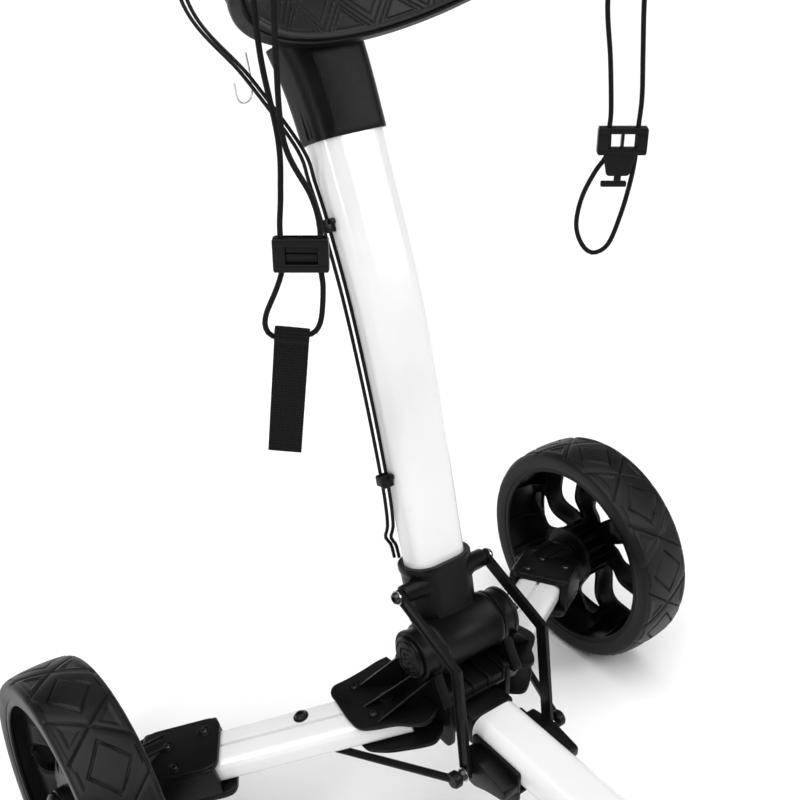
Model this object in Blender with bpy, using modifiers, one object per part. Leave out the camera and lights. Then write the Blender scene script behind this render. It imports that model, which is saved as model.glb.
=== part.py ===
"""Three-wheel golf push cart with a one-motion fold, modelled as separate pieces.

Frame: +Z up, -Y towards the front wheel, +X towards the cart's left, metres.
Everything is drawn about the rear axle (y = 0) and the ground (z = 0); the last
step slides the whole cart along Y so that the origin lies under its middle.
"""
import math

import bmesh
import bpy
import numpy as np
from mathutils import Matrix, Vector

# ---------------------------------------------------------------- driving sizes
GAP = 0.0003                    # clearance between pieces that touch
RUN = 0.0004                    # clearance around a turning shaft

WHEEL_R = 0.130                 # rear tyre, crown radius
TYRE_W = 0.066                  # rear tyre, width
TRACK_HALF = 0.3177             # middle of a rear tyre from the centre plane
TYRE_T = 0.020                  # depth of the tyre from crown to rim
CROWN = 0.0026                  # how far the tread crowns over its shoulders
RIM_WALL = 0.006
AXLE_R = 0.007
HUB_R = 0.020
SPOKES = 7
WHEEL_STEPS = 24                # facets round a wheel
LOCK_HOLES = 4                  # holes that the parking pin drops into
LOCK_R = 0.024                  # radius of the ring of lock holes

FRONT_WHEEL_R = 0.115
FRONT_TYRE_W = 0.052
FRONT_AXLE_Y = -0.660
FORK_Y = FRONT_AXLE_Y + FRONT_WHEEL_R + 0.035   # end of the front arm, in the fork's crown

FOLD_Y, FOLD_Z = -0.142, 0.259      # main fold axle
FRONT_PIVOT_Y, FRONT_PIVOT_Z = -0.155, 0.180    # front arm's pivot
CRANK_Y, CRANK_Z = -0.119, 0.311    # upper link bolts, on the mast sleeve
BEND_Y, BEND_Z = -0.200, 0.281      # corner of the dog-leg links
PIN_Y, PIN_Z = -0.217, 0.175        # lower link pins, on the front bracket
LINK_X = 0.0475                     # inner face of a link
LINK_T = 0.004
LINK_W = 0.013
BOLT_R = 0.0037

CHEEK_X = 0.036                 # outer face of the knuckle
CHEEK_T = 0.007
BOSS_R = 0.024
BOSS_X = 0.0540                 # outer face of a side bracket's boss

MAST_W_LOW, MAST_W_HIGH = 0.056, 0.064
MAST_D_LOW, MAST_D_HIGH = 0.036, 0.040
MAST_WALL = 0.002
MAST_FOOT = (-0.1135, 0.295)        # y, z where the mast's axis starts
MAST_TOP_Z = 0.730
LEAN_LOW, LEAN_HIGH = math.radians(16.0), math.radians(25.0)
LEAN_Z0, LEAN_Z1 = 0.46, 0.62       # the mast bends between these heights

ARM_W = 0.048
ARM_H = 0.025
ARM_WALL = 0.002
ARM_CLEAR = 0.005               # between an arm's round end and the knuckle
ARM_PIVOT = (CHEEK_X + ARM_W / 2 + ARM_CLEAR, -0.128, 0.1888)   # left arm's pivot, on its axis
ARM_TIP = (TRACK_HALF - 0.05782, -0.0032, WHEEL_R - 0.0048)     # outer end of the left end bracket
ARM_REACH = Vector(ARM_TIP) - Vector(ARM_PIVOT)
ARM_DIR = ARM_REACH.normalized()        # along the left arm, outwards
PLATE_T = 0.004
TIE_U, TIE_V = 0.0845, 0.010        # tie rod's bolt on the arm
TIE_R = 0.0038
TIE_DROP = 0.0090               # the rod runs this far under the arm, clear of the lower plate
TIE_EYE_R = 0.0075
BRACKET_U1 = ARM_REACH.length       # end bracket, from the arm's pivot
BRACKET_U0 = BRACKET_U1 - 0.077
ARM_END = BRACKET_U1 - 0.028
BRACKET_W, BRACKET_H = 0.066, 0.040
AXLE_BOSS_R = 0.021             # boss round the axle, on the end bracket
PIN_BOSS_R = 0.0085             # boss round the parking pin
PIN_R = 0.0040

FRONT_ARM_W, FRONT_ARM_H = 0.050, 0.032
FRONT_ARM_Z = 0.191
FRONT_WALL = 0.002
FRONT_ARM_START = -0.196

CRADLE_LEAN = math.radians(40.0)    # the bag's axis, back from vertical
CRADLE_R = 0.140                    # inner radius of the cradle's pad
CRADLE_Y, CRADLE_Z = 0.012, 0.773   # lower edge of the pad on the centre plane
CRADLE_L = 0.062                    # height of the cradle along the bag
PAD_T = 0.006
SHELL_T = 0.009
CRADLE_STEP = 8.0               # degrees between the facets of the cradles
WING_STEPS = 30                 # wings reach half of these steps to each side
PAD_STEPS = 12

STEM_W, STEM_D = 0.040, 0.028
STEM_TOP = (0.212, 1.010)           # y, z of the handle's hinge
GRIP_R = 0.014
STEM_FOOT_Z = 0.740
GRIP_LEAN = math.radians(58.0)
GRIP_Z = 0.056                  # middle of the grip's near bar, from the hinge
GRIP_W, GRIP_H = 0.250, 0.118

COLLAR_WALL = 0.0075
COLLAR_LOW = 0.680
LOWER_STEPS = 14
LOWER_CRADLE_DROP = 0.712       # from the upper cradle down the bag
LOWER_CRADLE_AHEAD = 0.040      # and this far forward of the upper cradle's axis
CROWN_BACK = 0.030              # how far the fork's crown runs back over the arm
CLIP_HIGH_Z, CLIP_LOW_Z = 0.622, 0.408
CABLE_R = 0.0016
CORD_R = 0.0020
PEG_OUT = 0.0240                # bungee's hanging point, beyond the middle of the wing
HANG_TURN = math.radians(37.0)  # the bungees hang turned by this much

COLORS = {
    "white_paint": ((0.88, 0.88, 0.88), 0.22, 0.0),
    "black_plastic": ((0.022, 0.022, 0.024), 0.45, 0.0),
    "black_rubber": ((0.030, 0.030, 0.032), 0.72, 0.0),
    "black_metal": ((0.020, 0.020, 0.022), 0.35, 0.6),
    "steel": ((0.60, 0.60, 0.62), 0.30, 1.0),
    "webbing": ((0.025, 0.025, 0.027), 0.85, 0.0),
}

for old in list(bpy.data.objects):
    bpy.data.objects.remove(old, do_unlink=True)


def new_collection(name):
    made = bpy.data.collections.new(name)
    bpy.context.scene.collection.children.link(made)
    return made


PARTS = new_collection("golf_push_cart")
CUTTERS = new_collection("cutters")
ROOT = bpy.data.objects.new("cart_origin", None)
PARTS.objects.link(ROOT)
CORDS = []


def principled(name, kind):
    color, roughness, metallic = COLORS[kind]
    made = bpy.data.materials.new(name)
    made.use_nodes = True
    shader = made.node_tree.nodes["Principled BSDF"]
    shader.inputs["Base Color"].default_value = (*color, 1.0)
    shader.inputs["Roughness"].default_value = roughness
    shader.inputs["Metallic"].default_value = metallic
    return made


# ---------------------------------------------------------------- small tools
def frame_matrix(origin, x_axis, y_axis):
    """Matrix whose local X and Y lie along the given world directions."""
    x = Vector(x_axis).normalized()
    z = x.cross(Vector(y_axis)).normalized()
    y = z.cross(x)
    made = Matrix((x, y, z)).transposed().to_4x4()
    made.translation = Vector(origin)
    return made


def along_x(x, y, z):
    """Local Z points along world +X, local X along world +Y."""
    return frame_matrix((x, y, z), (0, 1, 0), (0, 0, 1))


def side_sign(side):
    return 1.0 if side == "left" else -1.0


def mirror_x(matrix, side):
    """The same placement on the other side of the centre plane."""
    if side == "left":
        return matrix
    return Matrix.Diagonal((-1, 1, 1, 1)) @ matrix


def finish(obj, kind, smooth=40.0):
    for owner in list(obj.users_collection):
        owner.objects.unlink(obj)
    PARTS.objects.link(obj)
    obj.data.materials.clear()
    obj.data.materials.append(principled(obj.name + "_material", kind))
    if obj.type == "MESH":
        obj.data.shade_smooth()
        obj.data.set_sharp_from_angle(angle=math.radians(smooth))
    obj.parent = ROOT
    return obj


def mesh_object(name, bm, matrix=None):
    """Object from a bmesh; a mirrored placement is baked in with its faces turned back."""
    mesh = bpy.data.meshes.new(name)
    if matrix is not None:
        bm.transform(matrix)
    bmesh.ops.recalc_face_normals(bm, faces=bm.faces[:])
    if bm.calc_volume(signed=True) < 0:
        bmesh.ops.reverse_faces(bm, faces=bm.faces[:])
    bm.to_mesh(mesh)
    bm.free()
    made = bpy.data.objects.new(name, mesh)
    bpy.context.scene.collection.objects.link(made)
    return made


def recentre(obj, point):
    """Move the object's origin to a point, usually on its joint's axis."""
    shift = Vector(point)
    obj.data.transform(Matrix.Translation(-shift))
    obj.location = shift


def evaluated_mesh(obj):
    """Replace the object's mesh by its evaluated one and drop the modifiers."""
    bpy.context.view_layer.update()
    graph = bpy.context.evaluated_depsgraph_get()
    mesh = bpy.data.meshes.new_from_object(obj.evaluated_get(graph))
    obj.modifiers.clear()
    obj.data = mesh


def bevel(obj, width, segments=2, angle=35.0):
    made = obj.modifiers.new("bevel", "BEVEL")
    made.width = width
    made.segments = segments
    made.limit_method = "ANGLE"
    made.angle_limit = math.radians(angle)
    evaluated_mesh(obj)


def combine(obj, other, operation):
    """Boolean with another object; a cutter is kept out of sight."""
    made = obj.modifiers.new(operation.lower(), "BOOLEAN")
    made.operation = operation
    made.object = other
    evaluated_mesh(obj)
    for owner in list(other.users_collection):
        owner.objects.unlink(other)
    CUTTERS.objects.link(other)
    other.hide_render = True
    other.display_type = "WIRE"


def box(name, low, high, matrix=None, round_by=0.0, segments=2):
    bm = bmesh.new()
    bmesh.ops.create_cube(bm, size=1.0)
    size = [high[i] - low[i] for i in range(3)]
    middle = [(high[i] + low[i]) / 2 for i in range(3)]
    bm.transform(Matrix.Translation(middle) @ Matrix.Diagonal((*size, 1)))
    if round_by:
        bmesh.ops.bevel(bm, geom=bm.edges[:], offset=round_by, segments=segments,
                        profile=0.5, affect="EDGES")
    return mesh_object(name, bm, matrix)


def cylinder(name, radius, start, end, matrix, segments=24, end_radius=None):
    """Round bar along the matrix's local Z from start to end."""
    bm = bmesh.new()
    bmesh.ops.create_cone(bm, cap_ends=True, segments=segments, radius1=radius,
                          radius2=radius if end_radius is None else end_radius,
                          depth=end - start)
    bm.transform(Matrix.Translation((0, 0, (start + end) / 2)))
    return mesh_object(name, bm, matrix)


def turned(name, profile, matrix, steps=36):
    """Closed outline of (radius, height) points turned about the matrix's local Z."""
    mesh = bpy.data.meshes.new(name)
    points = [(radius, 0.0, height) for radius, height in profile]
    edges = [(i, (i + 1) % len(points)) for i in range(len(points))]
    if profile[0][0] == 0.0 and profile[-1][0] == 0.0:
        edges.pop()
    mesh.from_pydata(points, edges, [])
    made = bpy.data.objects.new(name, mesh)
    bpy.context.scene.collection.objects.link(made)
    screw = made.modifiers.new("turn", "SCREW")
    screw.steps = steps
    screw.render_steps = steps
    screw.use_merge_vertices = True
    screw.merge_threshold = 0.00001
    screw.use_normal_calculate = True
    evaluated_mesh(made)
    bm = bmesh.new()
    bm.from_mesh(made.data)
    bmesh.ops.remove_doubles(bm, verts=bm.verts[:], dist=0.00001)
    bmesh.ops.recalc_face_normals(bm, faces=bm.faces[:])
    if bm.calc_volume(signed=True) < 0:
        bmesh.ops.reverse_faces(bm, faces=bm.faces[:])
    bm.transform(matrix)
    if matrix.determinant() < 0:
        bmesh.ops.reverse_faces(bm, faces=bm.faces[:])
    bm.to_mesh(made.data)
    bm.free()
    return made


def arc(centre, radius, start, end, steps):
    """Points of an arc in a plane, angles in degrees."""
    made = []
    for i in range(steps + 1):
        angle = math.radians(start + (end - start) * i / steps)
        made.append((centre[0] + radius * math.cos(angle), centre[1] + radius * math.sin(angle)))
    return made


def plate(name, outline, bottom, top, matrix, holes=()):
    """Flat outline between two heights of the matrix's local Z; holes are (x, y, radius)."""
    curve = bpy.data.curves.new(name, "CURVE")
    curve.dimensions = "2D"
    curve.fill_mode = "BOTH"
    curve.extrude = (top - bottom) / 2
    loops = [outline] + [arc((x, y), radius, 0, 360 * 15 / 16, 15) for x, y, radius in holes]
    for loop in loops:
        spline = curve.splines.new("POLY")
        spline.points.add(len(loop) - 1)
        for point, (x, y) in zip(spline.points, loop):
            point.co = (x, y, 0, 1)
        spline.use_cyclic_u = True
    source = bpy.data.objects.new(name, curve)
    bpy.context.scene.collection.objects.link(source)
    bpy.context.view_layer.update()
    graph = bpy.context.evaluated_depsgraph_get()
    mesh = bpy.data.meshes.new_from_object(source.evaluated_get(graph))
    bpy.data.objects.remove(source, do_unlink=True)
    bm = bmesh.new()
    bm.from_mesh(mesh)
    bmesh.ops.remove_doubles(bm, verts=bm.verts[:], dist=0.00001)
    bm.transform(Matrix.Translation((0, 0, (top + bottom) / 2)))
    return mesh_object(name, bm, matrix)


def rounded_section(width, depth, corner, steps=3):
    """Rounded rectangle in a plane, as (x, y) points."""
    a, b = width / 2 - corner, depth / 2 - corner
    made = []
    for i, (x, y) in enumerate(((a, b), (-a, b), (-a, -b), (a, -b))):
        made += arc((x, y), corner, 90 * i, 90 * i + 90, steps)
    return made


def loft(name, rings, caps=True, wall=0.0, matrix=None):
    """Skin over rings of equal point count; open ends take a wall thickness instead of caps."""
    bm = bmesh.new()
    rows = [[bm.verts.new(p) for p in ring] for ring in rings]
    count = len(rows[0])
    for low, high in zip(rows[:-1], rows[1:]):
        for i in range(count):
            j = (i + 1) % count
            bm.faces.new((low[i], low[j], high[j], high[i]))
    if caps:
        bm.faces.new(rows[0][::-1])
        bm.faces.new(rows[-1])
    made = mesh_object(name, bm, matrix)
    if not caps:
        middle = sum((Vector(p) for p in rings[0]), Vector()) / count
        edge = made.data.polygons[0]
        if edge.normal.dot(edge.center - middle) < 0:
            made.data.flip_normals()
    if wall:
        solid = made.modifiers.new("wall", "SOLIDIFY")
        solid.thickness = wall
        solid.offset = -1.0
        solid.use_even_offset = True
        evaluated_mesh(made)
    return made


def smooth_path(points, step):
    """Points a fixed step apart on a smooth curve through the given points."""
    pts = [Vector(p) for p in points]
    pts = [2 * pts[0] - pts[1]] + pts + [2 * pts[-1] - pts[-2]]
    dense = []
    for i in range(1, len(pts) - 2):
        for k in range(40):
            t = k / 40
            a, b, c, d = pts[i - 1:i + 3]
            dense.append(0.5 * (2 * b + (c - a) * t + (2 * a - 5 * b + 4 * c - d) * t * t
                                + (3 * b - a - 3 * c + d) * t ** 3))
    dense.append(pts[-2])
    lengths = np.cumsum([0] + [(b - a).length for a, b in zip(dense, dense[1:])])
    count = max(2, int(round(lengths[-1] / step)) + 1)
    made = []
    for s in np.linspace(0, lengths[-1], count):
        k = min(int(np.searchsorted(lengths, s, side="right")) - 1, len(dense) - 2)
        t = (s - lengths[k]) / max(lengths[k + 1] - lengths[k], 1e-9)
        made.append(dense[k].lerp(dense[k + 1], float(t)))
    return made


def wire(name, points, radius, resolution=2, cyclic=False):
    curve = bpy.data.curves.new(name, "CURVE")
    curve.dimensions = "3D"
    curve.bevel_depth = radius
    curve.bevel_resolution = resolution
    curve.use_fill_caps = True
    curve.render_resolution_u = 0
    spline = curve.splines.new("POLY")
    spline.points.add(len(points) - 1)
    for point, co in zip(spline.points, points):
        point.co = (*co, 1)
    spline.use_cyclic_u = cyclic
    made = bpy.data.objects.new(name, curve)
    bpy.context.scene.collection.objects.link(made)
    return made


def wire_mesh(name, points, radius, resolution=2, cyclic=False):
    """The same, as a welded mesh that can be joined or cut."""
    source = wire(name + "_wire", points, radius, resolution, cyclic)
    bpy.context.view_layer.update()
    graph = bpy.context.evaluated_depsgraph_get()
    mesh = bpy.data.meshes.new_from_object(source.evaluated_get(graph))
    bpy.data.objects.remove(source, do_unlink=True)
    bm = bmesh.new()
    bm.from_mesh(mesh)
    bmesh.ops.remove_doubles(bm, verts=bm.verts[:], dist=0.00001)
    return mesh_object(name, bm)


# ---------------------------------------------------------------- frames used by many pieces
ARM_ACROSS = Vector((-ARM_DIR.y, ARM_DIR.x, 0)).normalized()
ARM_FRAME = frame_matrix(ARM_PIVOT, ARM_DIR, ARM_ACROSS)


def arm_frame(side):
    return mirror_x(ARM_FRAME, side)


def mast_axis(z):
    """y and lean of the mast's axis at a height."""
    steps = 60
    y = MAST_FOOT[0]
    low = MAST_FOOT[1]
    for i in range(steps):
        y += math.tan(mast_lean(low + (z - low) * (i + 0.5) / steps)) * (z - low) / steps
    return y


def mast_lean(z):
    t = min(max((z - LEAN_Z0) / (LEAN_Z1 - LEAN_Z0), 0.0), 1.0)
    return LEAN_LOW + (LEAN_HIGH - LEAN_LOW) * t * t * (3 - 2 * t)


def mast_ring(z, grow=0.0):
    """Section of the mast square to its axis; grow makes a socket or a collar around it."""
    t = (z - MAST_FOOT[1]) / (MAST_TOP_Z - MAST_FOOT[1])
    width = MAST_W_LOW + (MAST_W_HIGH - MAST_W_LOW) * t + 2 * grow
    depth = MAST_D_LOW + (MAST_D_HIGH - MAST_D_LOW) * t + 2 * grow
    lean = mast_lean(z)
    y = mast_axis(z)
    return [(a, y + b * math.cos(lean), z - b * math.sin(lean))
            for a, b in rounded_section(width, depth, 0.36 * depth)]


# ---------------------------------------------------------------- wheels
def make_wheel(prefix, x, y, radius, width, tyre_t, lock_side):
    """Rim, tyre and cap of one wheel; lock_side is -1 or 1 where its lock ring faces."""
    face = frame_matrix((x, y, radius), (0, 1, 0), (0, 0, 1))
    if lock_side > 0:
        face = face @ Matrix.Rotation(math.pi, 4, "X")
    half = width / 2
    rim_r = radius - tyre_t
    inner_r = rim_r - RIM_WALL
    lip = half - 0.002
    hub_in = half - 0.003
    hub_out = half - 0.007
    disc0, disc1 = 0.25 * half, 0.25 * half + 0.008
    outline = [
        (AXLE_R + RUN, -hub_in), (LOCK_R + 0.010, -hub_in), (LOCK_R + 0.010, -hub_in + 0.005),
        (HUB_R, -hub_in + 0.005), (HUB_R, disc0 - 0.004), (inner_r, disc0), (inner_r, -lip),
        (rim_r, -lip), (rim_r, lip), (inner_r, lip), (inner_r, disc1 + 0.002),
        (HUB_R, disc1), (HUB_R, hub_out), (AXLE_R + RUN, hub_out)]
    rim = turned(prefix + "_rim", outline, face, WHEEL_STEPS)
    windows = []
    for k in range(SPOKES):
        turn = Matrix.Rotation(2 * math.pi * k / SPOKES, 4, "Z")
        r0, r1 = HUB_R + 0.012, inner_r - 0.016
        drop = arc((r1, 0.0), 0.0165 * radius / 0.130, -90, 90, 4) + [(r0, 0.003), (r0, -0.003)]
        windows.append(plate("window", drop, disc0 - 0.012, disc1 + 0.012, face @ turn))
    for k in range(LOCK_HOLES):
        turn = Matrix.Rotation(2 * math.pi * k / LOCK_HOLES, 4, "Z")
        spot = face @ turn @ Matrix.Translation((LOCK_R, 0, 0))
        windows.append(cylinder("lock_hole", 0.0055, -hub_in - 0.002, -hub_in + 0.007, spot, 6))
    cutter = join_meshes(prefix + "_rim_cutter", windows)
    combine(rim, cutter, "DIFFERENCE")
    recentre(rim, (x, y, radius))
    finish(rim, "black_plastic")
    seat = rim_r + GAP
    shoulder = radius - CROWN
    tread = [(seat, -half), (shoulder - 0.003, -half), (shoulder, -half + 0.003),
             (radius, -0.25 * half), (radius, 0.25 * half),
             (shoulder, half - 0.003), (shoulder - 0.003, half), (seat, half)]
    tyre = turned(prefix + "_tyre", tread, face, WHEEL_STEPS)
    recentre(tyre, (x, y, radius))
    finish(tyre, "black_rubber")
    return face, hub_in, hub_out


def join_meshes(name, pieces):
    bm = bmesh.new()
    for piece in pieces:
        bm.from_mesh(piece.data)
        bpy.data.objects.remove(piece, do_unlink=True)
    return mesh_object(name, bm)


def make_rear_wheel(side):
    sign = side_sign(side)
    face, hub_in, hub_out = make_wheel("wheel_" + side, sign * TRACK_HALF, 0.0, WHEEL_R, TYRE_W,
                                       TYRE_T, -sign)
    cap = turned("hub_cap_" + side, [(0.0, hub_out + 0.0085), (0.012, hub_out + 0.0085),
                                     (0.018, hub_out + 0.006), (0.019, hub_out + GAP),
                                     (0.010, hub_out + GAP), (0.010, hub_out + 0.005),
                                     (0.0, hub_out + 0.005)], face, 16)
    recentre(cap, (sign * TRACK_HALF, 0, WHEEL_R))
    finish(cap, "black_plastic")


# ---------------------------------------------------------------- rear arms
def make_rear_arm(side):
    sign = side_sign(side)
    frame = arm_frame(side)
    half = ARM_W / 2
    outline = [(ARM_END, -half), (ARM_END, half)] + arc((0, 0), half, 90, 270, 9)
    tube = plate("arm_tube_" + side, outline, -ARM_H / 2, ARM_H / 2, frame,
                 holes=((0, 0, BOLT_R + RUN), (TIE_U, TIE_V, BOLT_R + RUN)))
    bevel(tube, 0.006, 2, 50)
    hollow = box("arm_hollow_" + side, (TIE_U + 0.012, -half + ARM_WALL, -ARM_H / 2 + 0.0032),
                 (ARM_END + 0.01, half - ARM_WALL, ARM_H / 2 - 0.0032), frame)
    combine(tube, hollow, "DIFFERENCE")
    groove = box("arm_groove_" + side, (0.060, -0.0016, ARM_H / 2 - 0.0012),
                 (ARM_END + 0.01, 0.0016, ARM_H / 2 + 0.002), frame)
    combine(tube, groove, "DIFFERENCE")
    recentre(tube, frame.translation)
    finish(tube, "white_paint")

    bracket = box("end_bracket_" + side, (BRACKET_U0, -BRACKET_W / 2, -BRACKET_H / 2),
                  (BRACKET_U1, BRACKET_W / 2, BRACKET_H / 2), frame, 0.006, 2)
    axle_line = along_x(0, 0, WHEEL_R)
    hub_face = TRACK_HALF - TYRE_W / 2 + 0.003
    boss_end = hub_face - 0.004
    boss_start = boss_end - 0.0447
    bore_start = boss_end - 0.0347
    boss = cylinder("axle_boss_" + side, AXLE_BOSS_R, boss_start, boss_end, mirror_x(axle_line, side), 20)
    combine(bracket, boss, "UNION")
    pin_line = along_x(0, LOCK_R, WHEEL_R)
    pin_boss = cylinder("pin_boss_" + side, PIN_BOSS_R, boss_start - 0.010, boss_end,
                        mirror_x(pin_line, side), 12)
    combine(bracket, pin_boss, "UNION")
    socket = box("arm_socket_" + side, (BRACKET_U0 - 0.01, -half - GAP, -ARM_H / 2 - GAP),
                 (ARM_END + GAP, half + GAP, ARM_H / 2 + GAP), frame)
    combine(bracket, socket, "DIFFERENCE")
    axle_bore = cylinder("axle_bore_" + side, AXLE_R + GAP, bore_start, TRACK_HALF,
                         mirror_x(axle_line, side))
    combine(bracket, axle_bore, "DIFFERENCE")
    pin_bore = cylinder("pin_bore_" + side, PIN_R + 0.0005, bore_start - 0.002, TRACK_HALF,
                        mirror_x(pin_line, side), 12)
    combine(bracket, pin_bore, "DIFFERENCE")
    recentre(bracket, (sign * boss_end, 0, WHEEL_R))
    finish(bracket, "black_plastic")

    axle_end = TRACK_HALF + TYRE_W / 2 - 0.0035
    axle = cylinder("rear_axle_" + side, AXLE_R, bore_start + 0.0005, axle_end,
                    mirror_x(axle_line, side), 20)
    recentre(axle, (sign * TRACK_HALF, 0, WHEEL_R))
    finish(axle, "steel")
    pin = cylinder("brake_pin_" + side, PIN_R, bore_start - 0.001, boss_end + 0.001,
                   mirror_x(pin_line, side), 12)
    recentre(pin, (sign * boss_end, LOCK_R, WHEEL_R))
    finish(pin, "steel")


def make_tie_rod(side):
    """Round rod from the bolt under the arm to the lower link pin, with an eye at each end."""
    frame = arm_frame(side)
    low = -ARM_H / 2 - GAP
    bolt = frame @ Matrix.Translation((TIE_U, TIE_V, 0))
    sign = side_sign(side)
    start = bolt @ Vector((0, 0, low - TIE_DROP))
    end = Vector((sign * (LINK_X + LINK_T + 0.0105), PIN_Y, PIN_Z))
    rod = wire_mesh("tie_rod_" + side, [start, start.lerp(end, 0.5), end], TIE_R, 2)
    eye = cylinder("tie_eye_" + side, TIE_EYE_R, low - TIE_DROP - 0.0045, low, bolt, 14)
    combine(rod, eye, "UNION")
    shank = cylinder("tie_shank_" + side, BOLT_R, low - 0.002, ARM_H / 2 + 0.002, bolt, 10)
    combine(rod, shank, "UNION")
    head = cylinder("tie_head_" + side, 0.0062, ARM_H / 2 + GAP, ARM_H / 2 + 0.0045, bolt, 12)
    combine(rod, head, "UNION")
    ball = cylinder("tie_ball_" + side, TIE_EYE_R, -0.004, 0.004,
                    mirror_x(along_x(abs(end.x), PIN_Y, PIN_Z), side), 14)
    combine(rod, ball, "UNION")
    recentre(rod, bolt.translation)
    finish(rod, "black_metal")


# ---------------------------------------------------------------- knuckle and side brackets
def make_knuckle():
    inner = CHEEK_X - CHEEK_T
    web_low = FRONT_ARM_Z + FRONT_ARM_H / 2 + 0.005
    top = FOLD_Z - 0.0305
    low = 0.164
    y_back, y_front = -0.100, -0.178
    body = box("knuckle", (-CHEEK_X, y_front, low), (CHEEK_X, y_back, top), None, 0.005, 2)
    slot = box("knuckle_slot", (-inner, y_front - 0.02, low - 0.02),
               (inner, FRONT_PIVOT_Y + 0.0225, web_low))
    combine(body, slot, "DIFFERENCE")
    hole = cylinder("pivot_hole", 0.006 + GAP, -0.08, 0.08,
                    along_x(0, FRONT_PIVOT_Y, FRONT_PIVOT_Z), 12)
    combine(body, hole, "DIFFERENCE")
    recentre(body, (0, FOLD_Y, FOLD_Z))
    finish(body, "black_plastic")
    axle = cylinder("fold_axle", 0.008, -BOSS_X + 0.003, BOSS_X - 0.003,
                    along_x(0, FOLD_Y, FOLD_Z), 16)
    recentre(axle, (0, FOLD_Y, FOLD_Z))
    finish(axle, "steel")
    pin = cylinder("front_arm_pin", 0.006, -CHEEK_X + 0.001, CHEEK_X - 0.001,
                   along_x(0, FRONT_PIVOT_Y, FRONT_PIVOT_Z), 12)
    recentre(pin, (0, FRONT_PIVOT_Y, FRONT_PIVOT_Z))
    finish(pin, "steel")


UPPER_PLATE = [(0.056, 0.021), (0.053, 0.034), (0.041, 0.038), (0.022, 0.046), (0.003, 0.056),
               (-0.020, 0.060), (-0.050, 0.020), (-0.050, -0.020), (-0.036, -0.042),
               (-0.022, -0.041), (-0.006, -0.033), (0.014, -0.032), (0.030, -0.028),
               (0.042, -0.006)]
LOWER_PLATE = [(0.050, 0.018), (0.046, 0.028), (0.020, 0.032), (-0.010, 0.034), (-0.040, 0.020),
               (-0.044, -0.020), (-0.036, -0.038), (-0.020, -0.038), (0.010, -0.034),
               (0.030, -0.026), (0.040, -0.006)]


def make_side_bracket(side):
    """Boss round the fold axle, flowing down into the plate over the rear arm."""
    frame = arm_frame(side)
    face = mirror_x(along_x(0, FOLD_Y, FOLD_Z), side)
    bottom = ARM_H / 2 + GAP
    upper = plate("side_bracket_" + side, UPPER_PLATE, bottom, bottom + PLATE_T, frame,
                  holes=((0, 0, BOLT_R + GAP),))
    boss = cylinder("boss_" + side, BOSS_R, CHEEK_X + GAP, BOSS_X, face, 24)
    combine(upper, boss, "UNION")
    web = [(-0.104, 0.2068), (-0.118, 0.262), (-0.150, 0.270), (-0.166, 0.240), (-0.182, 0.2182)]
    wall = plate("web_" + side, [(y, z) for y, z in web], CHEEK_X + GAP, CHEEK_X + 0.009,
                 mirror_x(frame_matrix((0, 0, 0), (0, 1, 0), (0, 0, 1)), side))
    combine(upper, wall, "UNION")
    keep_out = box("knuckle_side_" + side, (-CHEEK_X - GAP, -0.30, 0.10),
                   (CHEEK_X + GAP, 0.0, 0.34))
    combine(upper, keep_out, "DIFFERENCE")
    bore = cylinder("fold_bore_" + side, 0.008 + GAP, 0.0, BOSS_X - 0.0025, face, 16)
    combine(upper, bore, "DIFFERENCE")
    recentre(upper, (side_sign(side) * BOSS_X, FOLD_Y, FOLD_Z))
    finish(upper, "black_plastic")

    lower = plate("lower_plate_" + side, LOWER_PLATE, -bottom - PLATE_T, -bottom, frame,
                  holes=((0, 0, BOLT_R + GAP),))
    again = box("knuckle_under_" + side, (-CHEEK_X - GAP, -0.30, 0.10),
                (CHEEK_X + GAP, 0.0, 0.34))
    combine(lower, again, "DIFFERENCE")
    recentre(lower, frame.translation)
    finish(lower, "black_plastic")

    reach = bottom + PLATE_T
    pin = turned("arm_pin_" + side,
                 [(0.0, reach + 0.004), (0.0075, reach + 0.004), (0.0075, reach + GAP),
                  (BOLT_R, reach + GAP), (BOLT_R, -reach - 0.002), (0.0, -reach - 0.002)],
                 frame, 20)
    recentre(pin, frame.translation)
    finish(pin, "steel")

    cap = turned("axle_cap_" + side,
                 [(0.0, BOSS_X + 0.0045), (0.011, BOSS_X + 0.0045), (0.0115, BOSS_X + 0.003),
                  (0.0145, BOSS_X + 0.003), (0.015, BOSS_X + 0.004), (0.019, BOSS_X + 0.0035),
                  (0.020, BOSS_X + GAP), (0.0, BOSS_X + GAP)], face, 20)
    recentre(cap, (side_sign(side) * BOSS_X, FOLD_Y, FOLD_Z))
    finish(cap, "black_plastic")


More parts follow.
